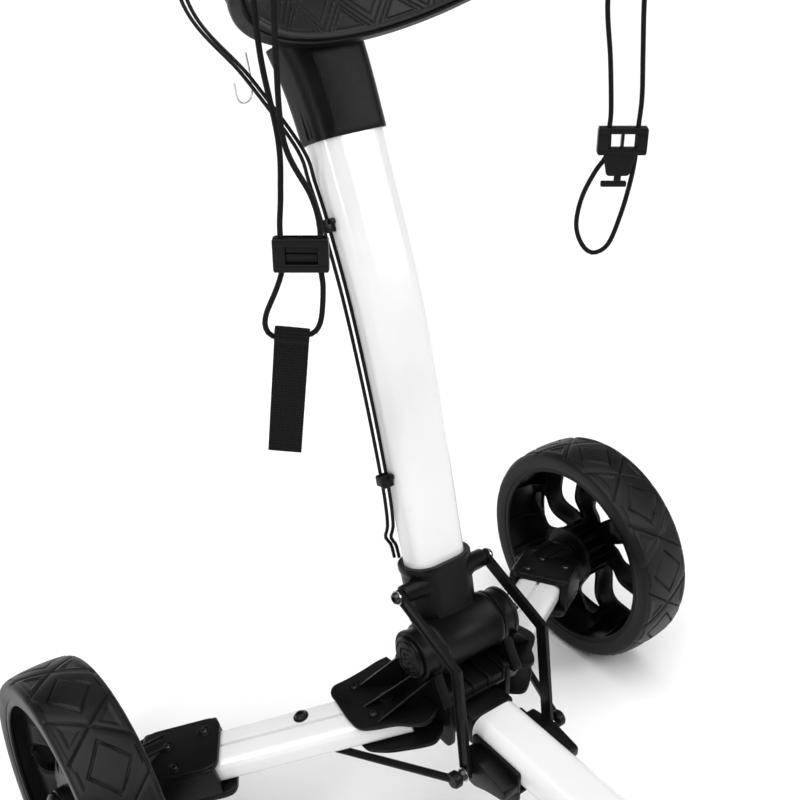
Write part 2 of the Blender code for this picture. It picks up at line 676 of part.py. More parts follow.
# ---------------------------------------------------------------- mast
def make_mast():
    heights = [MAST_FOOT[1] + (MAST_TOP_Z - MAST_FOOT[1]) * i / 8 for i in range(9)]
    tube = loft("mast_tube", [mast_ring(z) for z in heights], caps=False, wall=MAST_WALL)
    recentre(tube, (0, *MAST_FOOT))
    finish(tube, "white_paint", 30)

    rim_z = 0.324
    rings = [[(a * 0.92, FOLD_Y + 0.004 + b, FOLD_Z + 0.010) for a, b in
              rounded_section(0.062, 0.040, 0.010)]]
    rings += [mast_ring(z, grow) for z, grow in ((0.290, 0.004), (0.302, 0.005), (rim_z, 0.005))]
    sleeve = loft("mast_sleeve", rings)
    barrel = cylinder("sleeve_barrel", 0.027, -CHEEK_X + 0.001, CHEEK_X - 0.001,
                      along_x(0, FOLD_Y, FOLD_Z), 24)
    combine(sleeve, barrel, "UNION")
    lugs = cylinder("sleeve_lugs", 0.0085, -LINK_X + 0.0010, LINK_X - 0.0010,
                    along_x(0, CRANK_Y, CRANK_Z), 14)
    combine(sleeve, lugs, "UNION")
    pocket = loft("mast_pocket", [mast_ring(z, GAP) for z in (MAST_FOOT[1] - GAP, 0.31, rim_z + 0.01)])
    combine(sleeve, pocket, "DIFFERENCE")
    bore = cylinder("sleeve_bore", 0.008 + RUN, -0.06, 0.06, along_x(0, FOLD_Y, FOLD_Z), 16)
    combine(sleeve, bore, "DIFFERENCE")
    for side in ("right", "left"):
        hole = cylinder("crank_hole_" + side, BOLT_R + GAP, LINK_X - 0.013, 0.06,
                        mirror_x(along_x(0, CRANK_Y, CRANK_Z), side), 10)
        combine(sleeve, hole, "DIFFERENCE")
    recentre(sleeve, (0, FOLD_Y, FOLD_Z))
    finish(sleeve, "black_plastic")


def make_link(side):
    """Dog-leg flat link with its two bolts."""
    sign = side_sign(side)
    place = mirror_x(frame_matrix((0, 0, 0), (0, 1, 0), (0, 0, 1)), side)
    top, corner, foot = Vector((CRANK_Y, CRANK_Z)), Vector((BEND_Y, BEND_Z)), Vector((PIN_Y, PIN_Z))
    half = LINK_W / 2
    first, second = (corner - top).normalized(), (foot - corner).normalized()
    a1 = math.degrees(math.atan2(first.y, first.x))
    a2 = math.degrees(math.atan2(second.y, second.x))
    outline = arc(top, half, a1 + 90, a1 + 270, 8)
    inner = corner + (second - first).normalized() * half / math.cos(math.radians((a2 - a1) / 2))
    outer = arc(corner, half, a1 - 90, a2 - 90, 4)
    if a2 > a1:
        outline += outer + arc(foot, half, a2 - 90, a2 + 90, 8) + [tuple(inner)]
    link = plate("link_" + side, outline, LINK_X, LINK_X + LINK_T, place,
                 holes=((*top, BOLT_R + RUN), (*foot, BOLT_R + RUN)))
    recentre(link, (sign * LINK_X, CRANK_Y, CRANK_Z))
    finish(link, "black_metal")
    for name, y, z, inner_x in (("link_bolt_", CRANK_Y, CRANK_Z, LINK_X - 0.012),
                                ("link_pin_", PIN_Y, PIN_Z, LINK_X - 0.0015)):
        outer_x = LINK_X + LINK_T + GAP
        bolt = turned(name + side,
                      [(0.0, outer_x + 0.0042), (0.0048, outer_x + 0.0042),
                       (0.0064, outer_x + 0.003), (0.0064, outer_x), (BOLT_R, outer_x),
                       (BOLT_R, inner_x), (0.0, inner_x)],
                      mirror_x(along_x(0, y, z), side), 12)
        recentre(bolt, (sign * outer_x, y, z))
        finish(bolt, "steel")


# ---------------------------------------------------------------- front arm
def make_front_arm():
    end_y = FORK_Y
    section = rounded_section(FRONT_ARM_W, FRONT_ARM_H, 0.011)
    rings = [[(a, y, FRONT_ARM_Z + b) for a, b in section]
             for y in (FRONT_ARM_START, (FRONT_ARM_START + end_y) / 2, end_y)]
    tube = loft("front_arm_tube", rings, caps=False, wall=FRONT_WALL)
    recentre(tube, (0, FRONT_ARM_START, FRONT_ARM_Z))
    finish(tube, "white_paint")

    inset = 2 * (FRONT_WALL + GAP)
    plug = rounded_section(FRONT_ARM_W - inset, FRONT_ARM_H - inset, 0.011 - inset / 2)
    root = loft("front_root", [[(a, y, FRONT_ARM_Z + b) for a, b in plug]
                               for y in (FRONT_ARM_START - 0.034, FRONT_ARM_START + 0.003)])
    neck = box("root_neck", (-0.0245, FRONT_ARM_START + GAP, FRONT_ARM_Z - 0.0155),
               (0.0245, FRONT_PIVOT_Y, FRONT_ARM_Z + 0.0155), None, 0.003, 2)
    combine(root, neck, "UNION")
    round_end = cylinder("root_eye", 0.0175, -0.0245, 0.0245,
                         along_x(0, FRONT_PIVOT_Y, FRONT_PIVOT_Z), 16)
    combine(root, round_end, "UNION")
    bore = cylinder("root_bore", 0.006 + RUN, -0.05, 0.05,
                    along_x(0, FRONT_PIVOT_Y, FRONT_PIVOT_Z), 12)
    combine(root, bore, "DIFFERENCE")
    recentre(root, (0, FRONT_PIVOT_Y, FRONT_PIVOT_Z))
    finish(root, "black_metal")

    low = FRONT_ARM_Z - FRONT_ARM_H / 2 - GAP
    side_in = FRONT_ARM_W / 2 + GAP
    ear = 0.0035
    bracket = box("front_bracket", (-side_in - ear, -0.262, low - ear),
                  (side_in + ear, -0.200, FRONT_ARM_Z + 0.006))
    inside = box("bracket_inside", (-side_in, -0.30, low), (side_in, -0.15, 0.25))
    combine(bracket, inside, "DIFFERENCE")
    for side in ("right", "left"):
        outline = [(-0.200, 0.186), (-0.206, 0.162), (-0.222, 0.160), (-0.240, 0.168),
                   (-0.262, low), (-0.262, 0.186), (-0.228, 0.192)]
        wing = plate("bracket_ear_" + side, outline, side_in + 0.001, LINK_X - 0.0030,
                     mirror_x(frame_matrix((0, 0, 0), (0, 1, 0), (0, 0, 1)), side))
        combine(bracket, wing, "UNION")
    pin_hole = cylinder("bracket_hole", BOLT_R + 0.0006, -0.06, 0.06, along_x(0, PIN_Y, PIN_Z), 16)
    combine(bracket, pin_hole, "DIFFERENCE")
    recentre(bracket, (0, PIN_Y, PIN_Z))
    finish(bracket, "black_metal")

    fork_y = end_y
    crown = box("front_fork", (-0.040, fork_y - 0.020, FRONT_ARM_Z - 0.018),
                (0.040, fork_y + CROWN_BACK, FRONT_ARM_Z + 0.018), None, 0.005, 2)
    blade_in = FRONT_TYRE_W / 2 + 0.004
    for side in ("right", "left"):
        blade = plate("fork_blade_" + side,
                      [(fork_y + 0.010, FRONT_ARM_Z + 0.014), (fork_y + 0.010, FRONT_ARM_Z - 0.014)]
                      + arc((FRONT_AXLE_Y, FRONT_WHEEL_R), 0.018, -60, -240, 8),
                      blade_in, blade_in + 0.010,
                      mirror_x(frame_matrix((0, 0, 0), (0, 1, 0), (0, 0, 1)), side))
        combine(crown, blade, "UNION")
    pocket = box("fork_pocket", (-FRONT_ARM_W / 2 - GAP, fork_y - GAP, FRONT_ARM_Z - FRONT_ARM_H / 2 - GAP),
                 (FRONT_ARM_W / 2 + GAP, fork_y + 0.05, FRONT_ARM_Z + FRONT_ARM_H / 2 + GAP))
    combine(crown, pocket, "DIFFERENCE")
    bore = cylinder("fork_bore", AXLE_R + GAP, -0.06, 0.06,
                    along_x(0, FRONT_AXLE_Y, FRONT_WHEEL_R), 20)
    combine(crown, bore, "DIFFERENCE")
    recentre(crown, (0, FRONT_AXLE_Y, FRONT_WHEEL_R))
    finish(crown, "black_plastic")

    axle = cylinder("front_axle", AXLE_R, -blade_in - 0.012, blade_in + 0.012,
                    along_x(0, FRONT_AXLE_Y, FRONT_WHEEL_R), 20)
    recentre(axle, (0, FRONT_AXLE_Y, FRONT_WHEEL_R))
    finish(axle, "steel")
    make_wheel("front_wheel", 0.0, FRONT_AXLE_Y, FRONT_WHEEL_R, FRONT_TYRE_W, 0.018, -1)


# ---------------------------------------------------------------- cradles
def cradle_frame(y, z):
    """Local Z along the bag, local -Y towards the bag from the cradle's middle."""
    return frame_matrix((0, y, z), (1, 0, 0), (0, math.cos(CRADLE_LEAN), -math.sin(CRADLE_LEAN)))


def arc_solid(name, inner, outer, low, high, steps, matrix, centre_y, trim=0.0):
    """Curved plate, part of a tube round the bag, with closed ends."""
    rings = []
    angle = math.radians(CRADLE_STEP * steps / 2 - trim)
    for i in range(steps + 1):
        turn = -angle + 2 * angle * i / steps
        across, back = math.sin(turn), math.cos(turn)
        rings.append([(radius * across, centre_y + radius * back, height) for radius, height in
                      ((inner, low), (outer, low), (outer, high), (inner, high))])
    made = loft(name, rings, matrix=matrix)
    return made


def make_upper_cradle():
    frame = cradle_frame(CRADLE_Y, CRADLE_Z)
    shell_in = CRADLE_R + PAD_T + GAP
    shell = arc_solid("upper_cradle", shell_in, shell_in + SHELL_T, -0.003, CRADLE_L, WING_STEPS,
                      frame, -CRADLE_R)
    for side in ("right", "left"):
        x, y, z = hang_point(side)
        peg = cylinder("cord_peg_" + side, 0.0045, -PEG_OUT - 0.002, 0.005,
                       mirror_x(along_x(abs(x), y, z), side), 12)
        combine(shell, peg, "UNION")
    finish(shell, "black_plastic")
    pad = arc_solid("cradle_pad", CRADLE_R, CRADLE_R + PAD_T, 0.0, CRADLE_L - 0.004, PAD_STEPS,
                    frame, -CRADLE_R)
    finish(pad, "black_rubber")

    rings = [mast_ring(z, COLLAR_WALL) for z in (COLLAR_LOW, 0.705, 0.735, 0.758)]
    collar = loft("upper_collar", rings)
    back = PAD_T + SHELL_T + 2 * GAP
    block = box("cradle_mount", (-0.030, back, 0.004), (0.030, back + 0.034, 0.050), frame, 0.003, 1)
    combine(collar, block, "UNION")
    pocket = loft("collar_pocket", [mast_ring(z, GAP) for z in (0.66, 0.70, MAST_TOP_Z + GAP)])
    combine(collar, pocket, "DIFFERENCE")
    socket = loft("stem_socket", [stem_ring(t, GAP) for t in (-0.0004, 0.3)])
    combine(collar, socket, "DIFFERENCE")
    finish(collar, "black_plastic")


def make_lower_cradle():
    drop = Vector((0, math.sin(CRADLE_LEAN), math.cos(CRADLE_LEAN))) * LOWER_CRADLE_DROP
    frame = cradle_frame(CRADLE_Y - drop.y - LOWER_CRADLE_AHEAD, CRADLE_Z - drop.z)
    inner, outer = CRADLE_R - 0.010, CRADLE_R - 0.001
    shell = arc_solid("lower_cradle", inner, outer, -0.006, 0.050, LOWER_STEPS, frame, -inner)
    lip = arc_solid("cradle_lip", inner - 0.045, outer - 0.003, -0.0052, -0.0004, LOWER_STEPS,
                    frame, -inner, 1.0)
    combine(shell, lip, "UNION")
    foot = frame.translation.y
    top = FRONT_ARM_Z + FRONT_ARM_H / 2
    post_start = max(foot - 0.020, FORK_Y + CROWN_BACK + GAP)
    post = box("cradle_post", (-0.022, post_start, top + GAP), (0.022, foot + 0.045, top + 0.035))
    bag = cylinder("bag_space", inner + 0.004, -0.02, 0.2, frame @ Matrix.Translation((0, -inner, 0)), 45)
    combine(post, bag, "DIFFERENCE")
    combine(shell, post, "UNION")
    finish(shell, "black_plastic")


# ---------------------------------------------------------------- handle
def stem_ring(t, grow=0.0):
    """Section of the upper stem; t runs from 0 at its foot to 1 at the handle's hinge."""
    y0, z0 = mast_axis(STEM_FOOT_Z), STEM_FOOT_Z
    y1, z1 = STEM_TOP
    lean = math.atan2(y1 - y0, z1 - z0)
    y, z = y0 + (y1 - y0) * t, z0 + (z1 - z0) * t
    return [(a, y + b * math.cos(lean), z - b * math.sin(lean))
            for a, b in rounded_section(STEM_W + 2 * grow, STEM_D + 2 * grow, 0.010 + grow)]


def make_handle():
    lean = math.atan2(STEM_TOP[0] - mast_axis(STEM_FOOT_Z), STEM_TOP[1] - STEM_FOOT_Z)
    top_t = 1 - 0.026 / math.hypot(STEM_TOP[0] - mast_axis(STEM_FOOT_Z), STEM_TOP[1] - STEM_FOOT_Z)
    stem = loft("stem_tube", [stem_ring(0), stem_ring(top_t)], caps=False, wall=MAST_WALL)
    finish(stem, "white_paint")

    up = (0, math.sin(lean), math.cos(lean))
    frame = frame_matrix((0, *STEM_TOP), (1, 0, 0), (0, math.cos(lean), -math.sin(lean)))
    line = along_x(0, *STEM_TOP)
    head = box("stem_head", (-0.025, -0.019, -0.062), (0.025, 0.019, 0.016), frame, 0.005, 2)
    slot = box("head_slot", (-0.0145, -0.04, -0.0155), (0.0145, 0.04, 0.04), frame)
    combine(head, slot, "DIFFERENCE")
    socket = loft("head_socket", [stem_ring(0.5, GAP), stem_ring(top_t + 0.001, GAP)])
    combine(head, socket, "DIFFERENCE")
    bolt = cylinder("hinge_bolt", 0.0050, -0.024, 0.024, line, 16)
    combine(head, bolt, "UNION")
    recentre(head, (0, *STEM_TOP))
    finish(head, "black_plastic")

    # local Z of the grip's frame runs from the hinge through the loop
    grip = frame_matrix((0, *STEM_TOP), (1, 0, 0), (0, math.cos(GRIP_LEAN), -math.sin(GRIP_LEAN)))
    yoke = cylinder("handle_yoke", 0.0125, -0.0140, 0.0140, line, 16)
    neck = box("yoke_neck", (-0.0130, -0.0100, 0.004), (0.0130, 0.0100, 0.040), grip, 0.003, 2)
    combine(yoke, neck, "UNION")
    clamp = box("yoke_clamp", (-0.026, -0.0175, GRIP_Z - 0.0175), (0.026, 0.0175, GRIP_Z + 0.0175),
                grip, 0.005, 1)
    combine(yoke, clamp, "UNION")
    for side in ("right", "left"):
        ear = box("lever_ear_" + side, (0.0125, -0.006, GRIP_Z + 0.010), (0.018, 0.006, GRIP_Z + 0.034),
                  mirror_x(grip, side), 0.002, 1)
        combine(yoke, ear, "UNION")
    bore = cylinder("yoke_bore", 0.0050 + RUN, -0.03, 0.03, line, 16)
    combine(yoke, bore, "DIFFERENCE")
    tunnel = cylinder("grip_tunnel", GRIP_R + 2 * GAP, -0.05, 0.05,
                      grip @ Matrix.Translation((0, 0, GRIP_Z)) @ Matrix.Rotation(math.pi / 2, 4, "Y"), 16)
    combine(yoke, tunnel, "DIFFERENCE")
    recentre(yoke, (0, *STEM_TOP))
    finish(yoke, "black_plastic")

    half, high, corner = GRIP_W / 2, GRIP_H, 0.040
    corners = [(half - corner, high - corner, 0, 90), (-half + corner, high - corner, 90, 180)]
    loop = [(-0.032, 0.0), (0.0, 0.0), (0.032, 0.0)]
    loop += arc((half - corner - 0.022, corner), corner, -90, -20, 4)
    for x, z, start, end in corners:
        loop += arc((x, z), corner, start, end, 5)
    loop += arc((-half + corner + 0.022, corner), corner, 200, 270, 4)
    points = [grip @ Vector((x, 0, GRIP_Z + z)) for x, z in loop]
    bar = wire("handle_grip", points, GRIP_R, 2, cyclic=True)
    finish(bar, "black_rubber")

    pivot = grip @ Matrix.Translation((0, 0, GRIP_Z + 0.026))
    lever = box("brake_lever", (-0.0115, -0.0035, 0.0), (0.0115, 0.0035, 0.062), pivot, 0.002, 2)
    barrel = cylinder("lever_barrel", 0.0055, -0.0115, 0.0115,
                      pivot @ Matrix.Rotation(math.pi / 2, 4, "Y"), 16)
    combine(lever, barrel, "UNION")
    recentre(lever, pivot.translation)
    finish(lever, "black_plastic")


# ---------------------------------------------------------------- cables, clips and cords
def cable_route(side):
    """Brake cable from the stem's head past two clips to the back of the sleeve."""
    lane = 0.0 if side == "right" else 1.0
    away = Vector((-0.0046, 0.0022, 0.0010)) * lane
    route = [(-0.0275, STEM_TOP[0] + 0.000, STEM_TOP[1] - 0.040), (-0.045, 0.200, 0.945),
             (-0.070, 0.172, 0.870), (-0.082, 0.125, 0.786), (-0.068, 0.056, 0.738),
             (-0.048, 0.015, 0.687), (-0.0375, mast_axis(0.655) + 0.003, 0.655)]
    for z in (CLIP_HIGH_Z, 0.56, 0.48, CLIP_LOW_Z, 0.36):
        edge = max(p[0] for p in mast_ring(z)) + CABLE_R + 0.0016
        route.append((-edge, mast_axis(z) + 0.003, z))
    points = [Vector(p) + away for p in route]
    foot = Vector((-0.020, mast_axis(0.328) + 0.0300, 0.328)) + away * 0.9
    points += [Vector((-0.0355, mast_axis(0.341) + 0.020, 0.341)) + away, foot,
               foot + Vector((0.004, 0.0005, -0.016))]
    return points


def make_cables():
    for side in ("right", "left"):
        cable = wire("brake_cable_" + side, smooth_path(cable_route(side), 0.018), CABLE_R, 1)
        finish(cable, "black_rubber")
    for name, z in (("cable_clip_upper", CLIP_HIGH_Z), ("cable_clip_lower", CLIP_LOW_Z)):
        lean = mast_lean(z)
        edge = max(p[0] for p in mast_ring(z)) + 0.0006
        frame = frame_matrix((-edge, mast_axis(z) + 0.003, z), (-1, 0, 0),
                             (0, -math.cos(lean), math.sin(lean)))
        clip = box(name, (0.0, -0.0062, -0.006), (0.0115, 0.0062, 0.006), frame, 0.0012, 1)
        for cable_side in ("right", "left"):
            path = smooth_path(cable_route(cable_side), 0.018)
            near = [p for p in path if abs(p.z - z) < 0.03]
            tunnel = wire_mesh("tunnel", near, CABLE_R + 0.0004, 1)
            combine(clip, tunnel, "DIFFERENCE")
        finish(clip, "black_plastic")


HANG_DIR = Vector((math.cos(HANG_TURN), -math.sin(HANG_TURN), 0))
HANG_OUT = Vector((-math.sin(HANG_TURN), -math.cos(HANG_TURN), 0))


def hang_point(side):
    """Where a bungee's ends meet, on the peg at a wing's tip."""
    turn = math.radians(CRADLE_STEP * WING_STEPS / 2 - 4.0)
    radius = CRADLE_R + PAD_T + SHELL_T / 2
    local = Vector((radius * math.sin(turn), -CRADLE_R + radius * math.cos(turn), CRADLE_L / 2))
    x, y, z = cradle_frame(CRADLE_Y, CRADLE_Z) @ local
    return Vector((side_sign(side) * (x + PEG_OUT), y, z))


def hang(side, across, height, out=0.0):
    """Point on the plane that a bungee hangs in."""
    top = hang_point(side)
    point = top + HANG_DIR * across + HANG_OUT * out
    point.z = height
    return point


RIGHT_BUNGEE = [(-0.004, 0.910, 0.0), (-0.006, 0.885, 0.0), (-0.0075, 0.860, 0.0),
                (-0.0050, 0.805, -0.0030), (0.0036, 0.750, -0.0030), (0.0036, 0.715, -0.001),
                (0.0020, 0.692, 0.0), (0.0020, 0.675, 0.0), (0.0018, 0.658, 0.0), (-0.0030, 0.643, 0.0),
                (-0.0110, 0.624, 0.0), (-0.0118, 0.6130, 0.0), (-0.0065, 0.6066, 0.0),
                (0.0066, 0.6075, 0.0), (0.0190, 0.6080, 0.0), (0.0252, 0.6130, 0.0),
                (0.0285, 0.624, 0.0), (0.0300, 0.645, 0.0),
                (0.0290, 0.658, 0.0), (0.0290, 0.675, 0.0), (0.0290, 0.692, 0.0), (0.0240, 0.713, 0.001),
                (0.0080, 0.750, 0.0030), (0.0055, 0.805, 0.0030), (0.0060, 0.860, 0.0),
                (0.005, 0.885, 0.0), (0.004, 0.910, 0.0)]
LEFT_BUNGEE = [(-0.002, 0.910, 0.0), (-0.003, 0.885, 0.0), (-0.0080, 0.845, 0.0),
               (-0.0100, 0.800, 0.0), (-0.0040, 0.755, 0.0), (0.0000, 0.715, 0.0),
               (0.0000, 0.700, 0.0), (0.0000, 0.678, 0.0), (-0.0090, 0.662, 0.0),
               (-0.0180, 0.640, 0.0), (-0.0210, 0.616, 0.0), (-0.0150, 0.598, 0.0),
               (-0.0047, 0.590, 0.0), (0.0075, 0.598, 0.0), (0.0160, 0.6254, 0.0),
               (0.0215, 0.655, 0.0), (0.0235, 0.678, 0.0), (0.0235, 0.700, 0.0),
               (0.0240, 0.725, 0.0), (0.0213, 0.760, 0.0), (0.0182, 0.801, 0.0),
               (0.0175, 0.845, 0.0), (0.012, 0.885, 0.0), (0.006, 0.910, 0.0)]


def bungee_route(side):
    return [hang(side, *point) for point in (RIGHT_BUNGEE if side == "right" else LEFT_BUNGEE)]


def hang_frame(side, across, height):
    """Local X along the bungee's plane, local Y up, local Z out of the plane."""
    return frame_matrix(hang(side, across, height), HANG_DIR, (0, 0, 1))


def make_bungees():
    paths = {}
    for side in ("right", "left"):
        paths[side] = smooth_path(bungee_route(side), 0.0115)
        cord = wire("bungee_cord_" + side, paths[side], CORD_R, 2)
        finish(cord, "black_rubber")
        CORDS.append(cord)

    def bore_for_cord(piece, side, across, height):
        bore = cylinder("cord_bore", CORD_R + 0.0010, -0.016, 0.016,
                        Matrix.Translation(hang(side, across, height)), 12)
        combine(piece, bore, "DIFFERENCE")

    slider = box("slider_buckle", (-0.0195, -0.0125, -0.0045), (0.0195, 0.0125, 0.0045),
                 hang_frame("right", 0.0155, 0.6700), 0.002, 2)
    for across in (0.0020, 0.0290):
        bore_for_cord(slider, "right", across, 0.6700)
    finish(slider, "black_plastic")
    CORDS.append(slider)

    buckle = box("hook_buckle", (-0.0205, -0.0115, -0.0045), (0.0205, 0.0115, 0.0045),
                 hang_frame("left", 0.0115, 0.6890), 0.002, 2)
    tongue = plate("tongue", [(-0.014, -0.010), (0.014, -0.010), (0.009, -0.0285), (-0.009, -0.0285)],
                   0.0026, 0.0043, hang_frame("left", 0.0100, 0.6890))
    combine(buckle, tongue, "UNION")
    stalk = box("hook_stalk", (-0.0035, -0.036, 0.0028), (0.0035, -0.022, 0.0041),
                hang_frame("left", 0.0085, 0.6890))
    combine(buckle, stalk, "UNION")
    rung = box("hook_rung", (-0.0105, -0.0385, 0.0010), (0.0105, -0.0335, 0.0045),
               hang_frame("left", 0.0063, 0.6890))
    combine(buckle, rung, "UNION")
    for across in (0.0, 0.0235):
        bore_for_cord(buckle, "left", across, 0.6890)
    finish(buckle, "black_plastic")
    CORDS.append(buckle)

    tab_frame = frame_matrix(hang("right", 0.0066, 0.6075), HANG_DIR + Vector((0, 0, 0.075)),
                             (-0.075 * HANG_DIR.x, -0.075 * HANG_DIR.y, 1))
    tab = box("webbing_tab", (-0.0125, -0.098, -0.0014), (0.0125, -0.0048, 0.0014), tab_frame)
    hem = box("tab_hem", (-0.0131, -0.0056, -0.0056), (0.0131, 0.0056, 0.0056), tab_frame)
    combine(tab, hem, "UNION")
    bore = cylinder("hem_bore", CORD_R + 0.0024, -0.02, 0.02,
                    tab_frame @ Matrix.Rotation(math.pi / 2, 4, "Y"), 10)
    combine(tab, bore, "DIFFERENCE")
    finish(tab, "webbing")
    CORDS.append(tab)


def centre_on_ground():
    """Slide the whole cart along Y so that its middle, cords left out, is over the origin."""
    bpy.context.view_layer.update()
    lows, highs = [], []
    for obj in PARTS.objects:
        if obj.type == "EMPTY" or obj in CORDS:
            continue
        ys = [(obj.matrix_world @ Vector(corner)).y for corner in obj.bound_box]
        lows.append(min(ys))
        highs.append(max(ys))
    ROOT.location.y = -(min(lows) + max(highs)) / 2


for side in ("right", "left"):
    make_rear_wheel(side)
    make_rear_arm(side)
    make_tie_rod(side)
    make_side_bracket(side)
    make_link(side)
make_knuckle()
make_mast()
make_front_arm()
make_upper_cradle()
make_lower_cradle()
make_handle()
make_cables()
make_bungees()
centre_on_ground()
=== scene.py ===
"""Looks of the three-wheel golf push cart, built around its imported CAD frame.

Every place is in the row frame, in metres. Lengths along Y are written from the
rear axle, as AXLE_Y + y, because the cart is drawn about that axle.
"""
import math

import bmesh
import bpy
import numpy as np
from mathutils import Matrix, Vector


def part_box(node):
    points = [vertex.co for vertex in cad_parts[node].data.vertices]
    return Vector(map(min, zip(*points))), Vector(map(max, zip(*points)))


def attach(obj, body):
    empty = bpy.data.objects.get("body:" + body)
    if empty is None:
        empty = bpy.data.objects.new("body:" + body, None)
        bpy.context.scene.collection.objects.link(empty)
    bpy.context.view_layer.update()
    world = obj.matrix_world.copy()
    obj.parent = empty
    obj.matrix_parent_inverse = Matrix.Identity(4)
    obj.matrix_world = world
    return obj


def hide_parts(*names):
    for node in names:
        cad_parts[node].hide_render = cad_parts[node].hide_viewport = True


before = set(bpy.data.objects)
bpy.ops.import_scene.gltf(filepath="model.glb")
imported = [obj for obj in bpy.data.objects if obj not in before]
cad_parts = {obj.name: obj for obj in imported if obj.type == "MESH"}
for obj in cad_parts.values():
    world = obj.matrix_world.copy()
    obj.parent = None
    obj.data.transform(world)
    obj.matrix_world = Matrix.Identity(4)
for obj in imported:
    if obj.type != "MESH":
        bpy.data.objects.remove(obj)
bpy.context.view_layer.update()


# ---------------------------------------------------------------- sizes taken from the frame
def middle(node):
    low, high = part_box(node)
    return (Vector(low) + Vector(high)) / 2


AXLE_Y = middle("rear_axle_left").y
WHEEL_Z = middle("rear_axle_left").z
WHEEL_X = middle("wheel_left_tyre").x

FOLD = (AXLE_Y - 0.142, 0.259)
CRANK = (AXLE_Y - 0.119, 0.311)
LINK_BEND = (AXLE_Y - 0.2, 0.281)
LINK_PIN = (AXLE_Y - 0.217, 0.175)
FRONT_PIVOT = (AXLE_Y - 0.155, 0.18)
ARM_PIVOT = Vector((0.065, AXLE_Y - 0.128, 0.1888))
ARM_DIRECTION = Vector((0.812, 0.52, -0.265)).normalized()
ARM_W, ARM_H, ARM_END = 0.048, 0.025, 0.212
CRADLE_LEAN = math.radians(40.0)
CRADLE_R = 0.14
CRADLE_Y, CRADLE_Z = AXLE_Y + 0.012, 0.773
PAD_T, SHELL_T = 0.006, 0.009
STEM_TOP = (AXLE_Y + 0.212, 1.01)
GRIP_LEAN = math.radians(58.0)
CHEEK_X = 0.036
BOSS_X = 0.054
LINK_X, LINK_T, LINK_W = 0.0475, 0.004, 0.013
GAP = 0.0003                # clearance between pieces that lie against each other
QUARTER = math.pi / 2
SIDES = ("right", "left")


# ---------------------------------------------------------------- camera
def add_camera():
    data = bpy.data.cameras.new("camera")
    data.sensor_width = 36.0
    data.lens = 54.16
    data.clip_start = 0.05
    made = bpy.data.objects.new("camera", data)
    made.location = (-0.554813, AXLE_Y - 0.790576, 0.996792)
    made.rotation_euler = (QUARTER - 0.522455, 0.0, -0.645327)
    bpy.context.scene.collection.objects.link(made)
    bpy.context.scene.camera = made


# ---------------------------------------------------------------- materials
class Nodes:
    """Small helper around one material's node tree."""

    def __init__(self, name):
        self.material = bpy.data.materials.new(name)
        self.material.use_nodes = True
        self.tree = self.material.node_tree
        self.shader = self.tree.nodes["Principled BSDF"]

    def add(self, kind, **values):
        node = self.tree.nodes.new(kind)
        for key, value in values.items():
            setattr(node, key, value)
        return node

    def link(self, source, target):
        self.tree.links.new(source, target)

    def noise(self, coords, scale, detail=4.0, roughness=0.6, stretch=None):
        if stretch:
            mapping = self.add("ShaderNodeMapping")
            mapping.inputs["Scale"].default_value = stretch
            self.link(coords, mapping.inputs["Vector"])
            coords = mapping.outputs["Vector"]
        made = self.add("ShaderNodeTexNoise")
        made.inputs["Scale"].default_value = scale
        made.inputs["Detail"].default_value = detail
        made.inputs["Roughness"].default_value = roughness
        self.link(coords, made.inputs["Vector"])
        return made.outputs["Fac"]

    def spread(self, fac, low, high, start=0.3, end=0.7):
        made = self.add("ShaderNodeMapRange")
        made.inputs["From Min"].default_value = start
        made.inputs["From Max"].default_value = end
        made.inputs["To Min"].default_value = low
        made.inputs["To Max"].default_value = high
        self.link(fac, made.inputs["Value"])
        return made.outputs["Result"]

    def ramp(self, fac, low, high, start=0.3, end=0.7):
        made = self.add("ShaderNodeValToRGB")
        made.color_ramp.elements[0].position = start
        made.color_ramp.elements[0].color = (*low, 1)
        made.color_ramp.elements[1].position = end
        made.color_ramp.elements[1].color = (*high, 1)
        self.link(fac, made.inputs["Fac"])
        return made.outputs["Color"]

    def math(self, operation, a, b):
        made = self.add("ShaderNodeMath", operation=operation)
        for socket, value in zip(made.inputs, (a, b)):
            if isinstance(value, (int, float)):
                socket.default_value = value
            else:
                self.link(value, socket)
        return made.outputs["Value"]

    def bump(self, height, distance, strength=1.0, after=None):
        made = self.add("ShaderNodeBump")
        made.inputs["Strength"].default_value = strength
        made.inputs["Distance"].default_value = distance
        self.link(height, made.inputs["Height"])
        if after:
            self.link(after, made.inputs["Normal"])
        return made.outputs["Normal"]


def surface(name, low, high, rough, grain_scale, grain_depth, metallic=0.0, coat=0.0,
            patch_scale=18.0, scratch=0.0, specular=0.5):
    """Solid material with patches of tone, a fine surface grain and optional fine scratches."""
    n = Nodes(name)
    coords = n.add("ShaderNodeTexCoord").outputs["Object"]
    patches = n.noise(coords, patch_scale, 5.0, 0.65)
    n.link(n.ramp(patches, low, high), n.shader.inputs["Base Color"])
    fine = n.noise(coords, grain_scale, 3.0, 0.6)
    tone = n.math("MULTIPLY_ADD", fine, 0.25)
    tone.node.inputs[2].default_value = 0.0
    mixed = n.math("ADD", patches, tone)
    n.link(n.spread(mixed, rough[0], rough[1], 0.35, 0.85), n.shader.inputs["Roughness"])
    normal = n.bump(fine, grain_depth)
    if scratch:
        lines = n.noise(coords, 90.0, 2.0, 0.5, (1.0, 14.0, 1.6))
        normal = n.bump(n.spread(lines, 0.0, 1.0, 0.66, 0.7), scratch, 0.6, normal)
    n.link(normal, n.shader.inputs["Normal"])
    n.shader.inputs["Metallic"].default_value = metallic
    n.shader.inputs["Coat Weight"].default_value = coat
    n.shader.inputs["Coat Roughness"].default_value = 0.06
    n.shader.inputs["Specular IOR Level"].default_value = specular
    return n.material


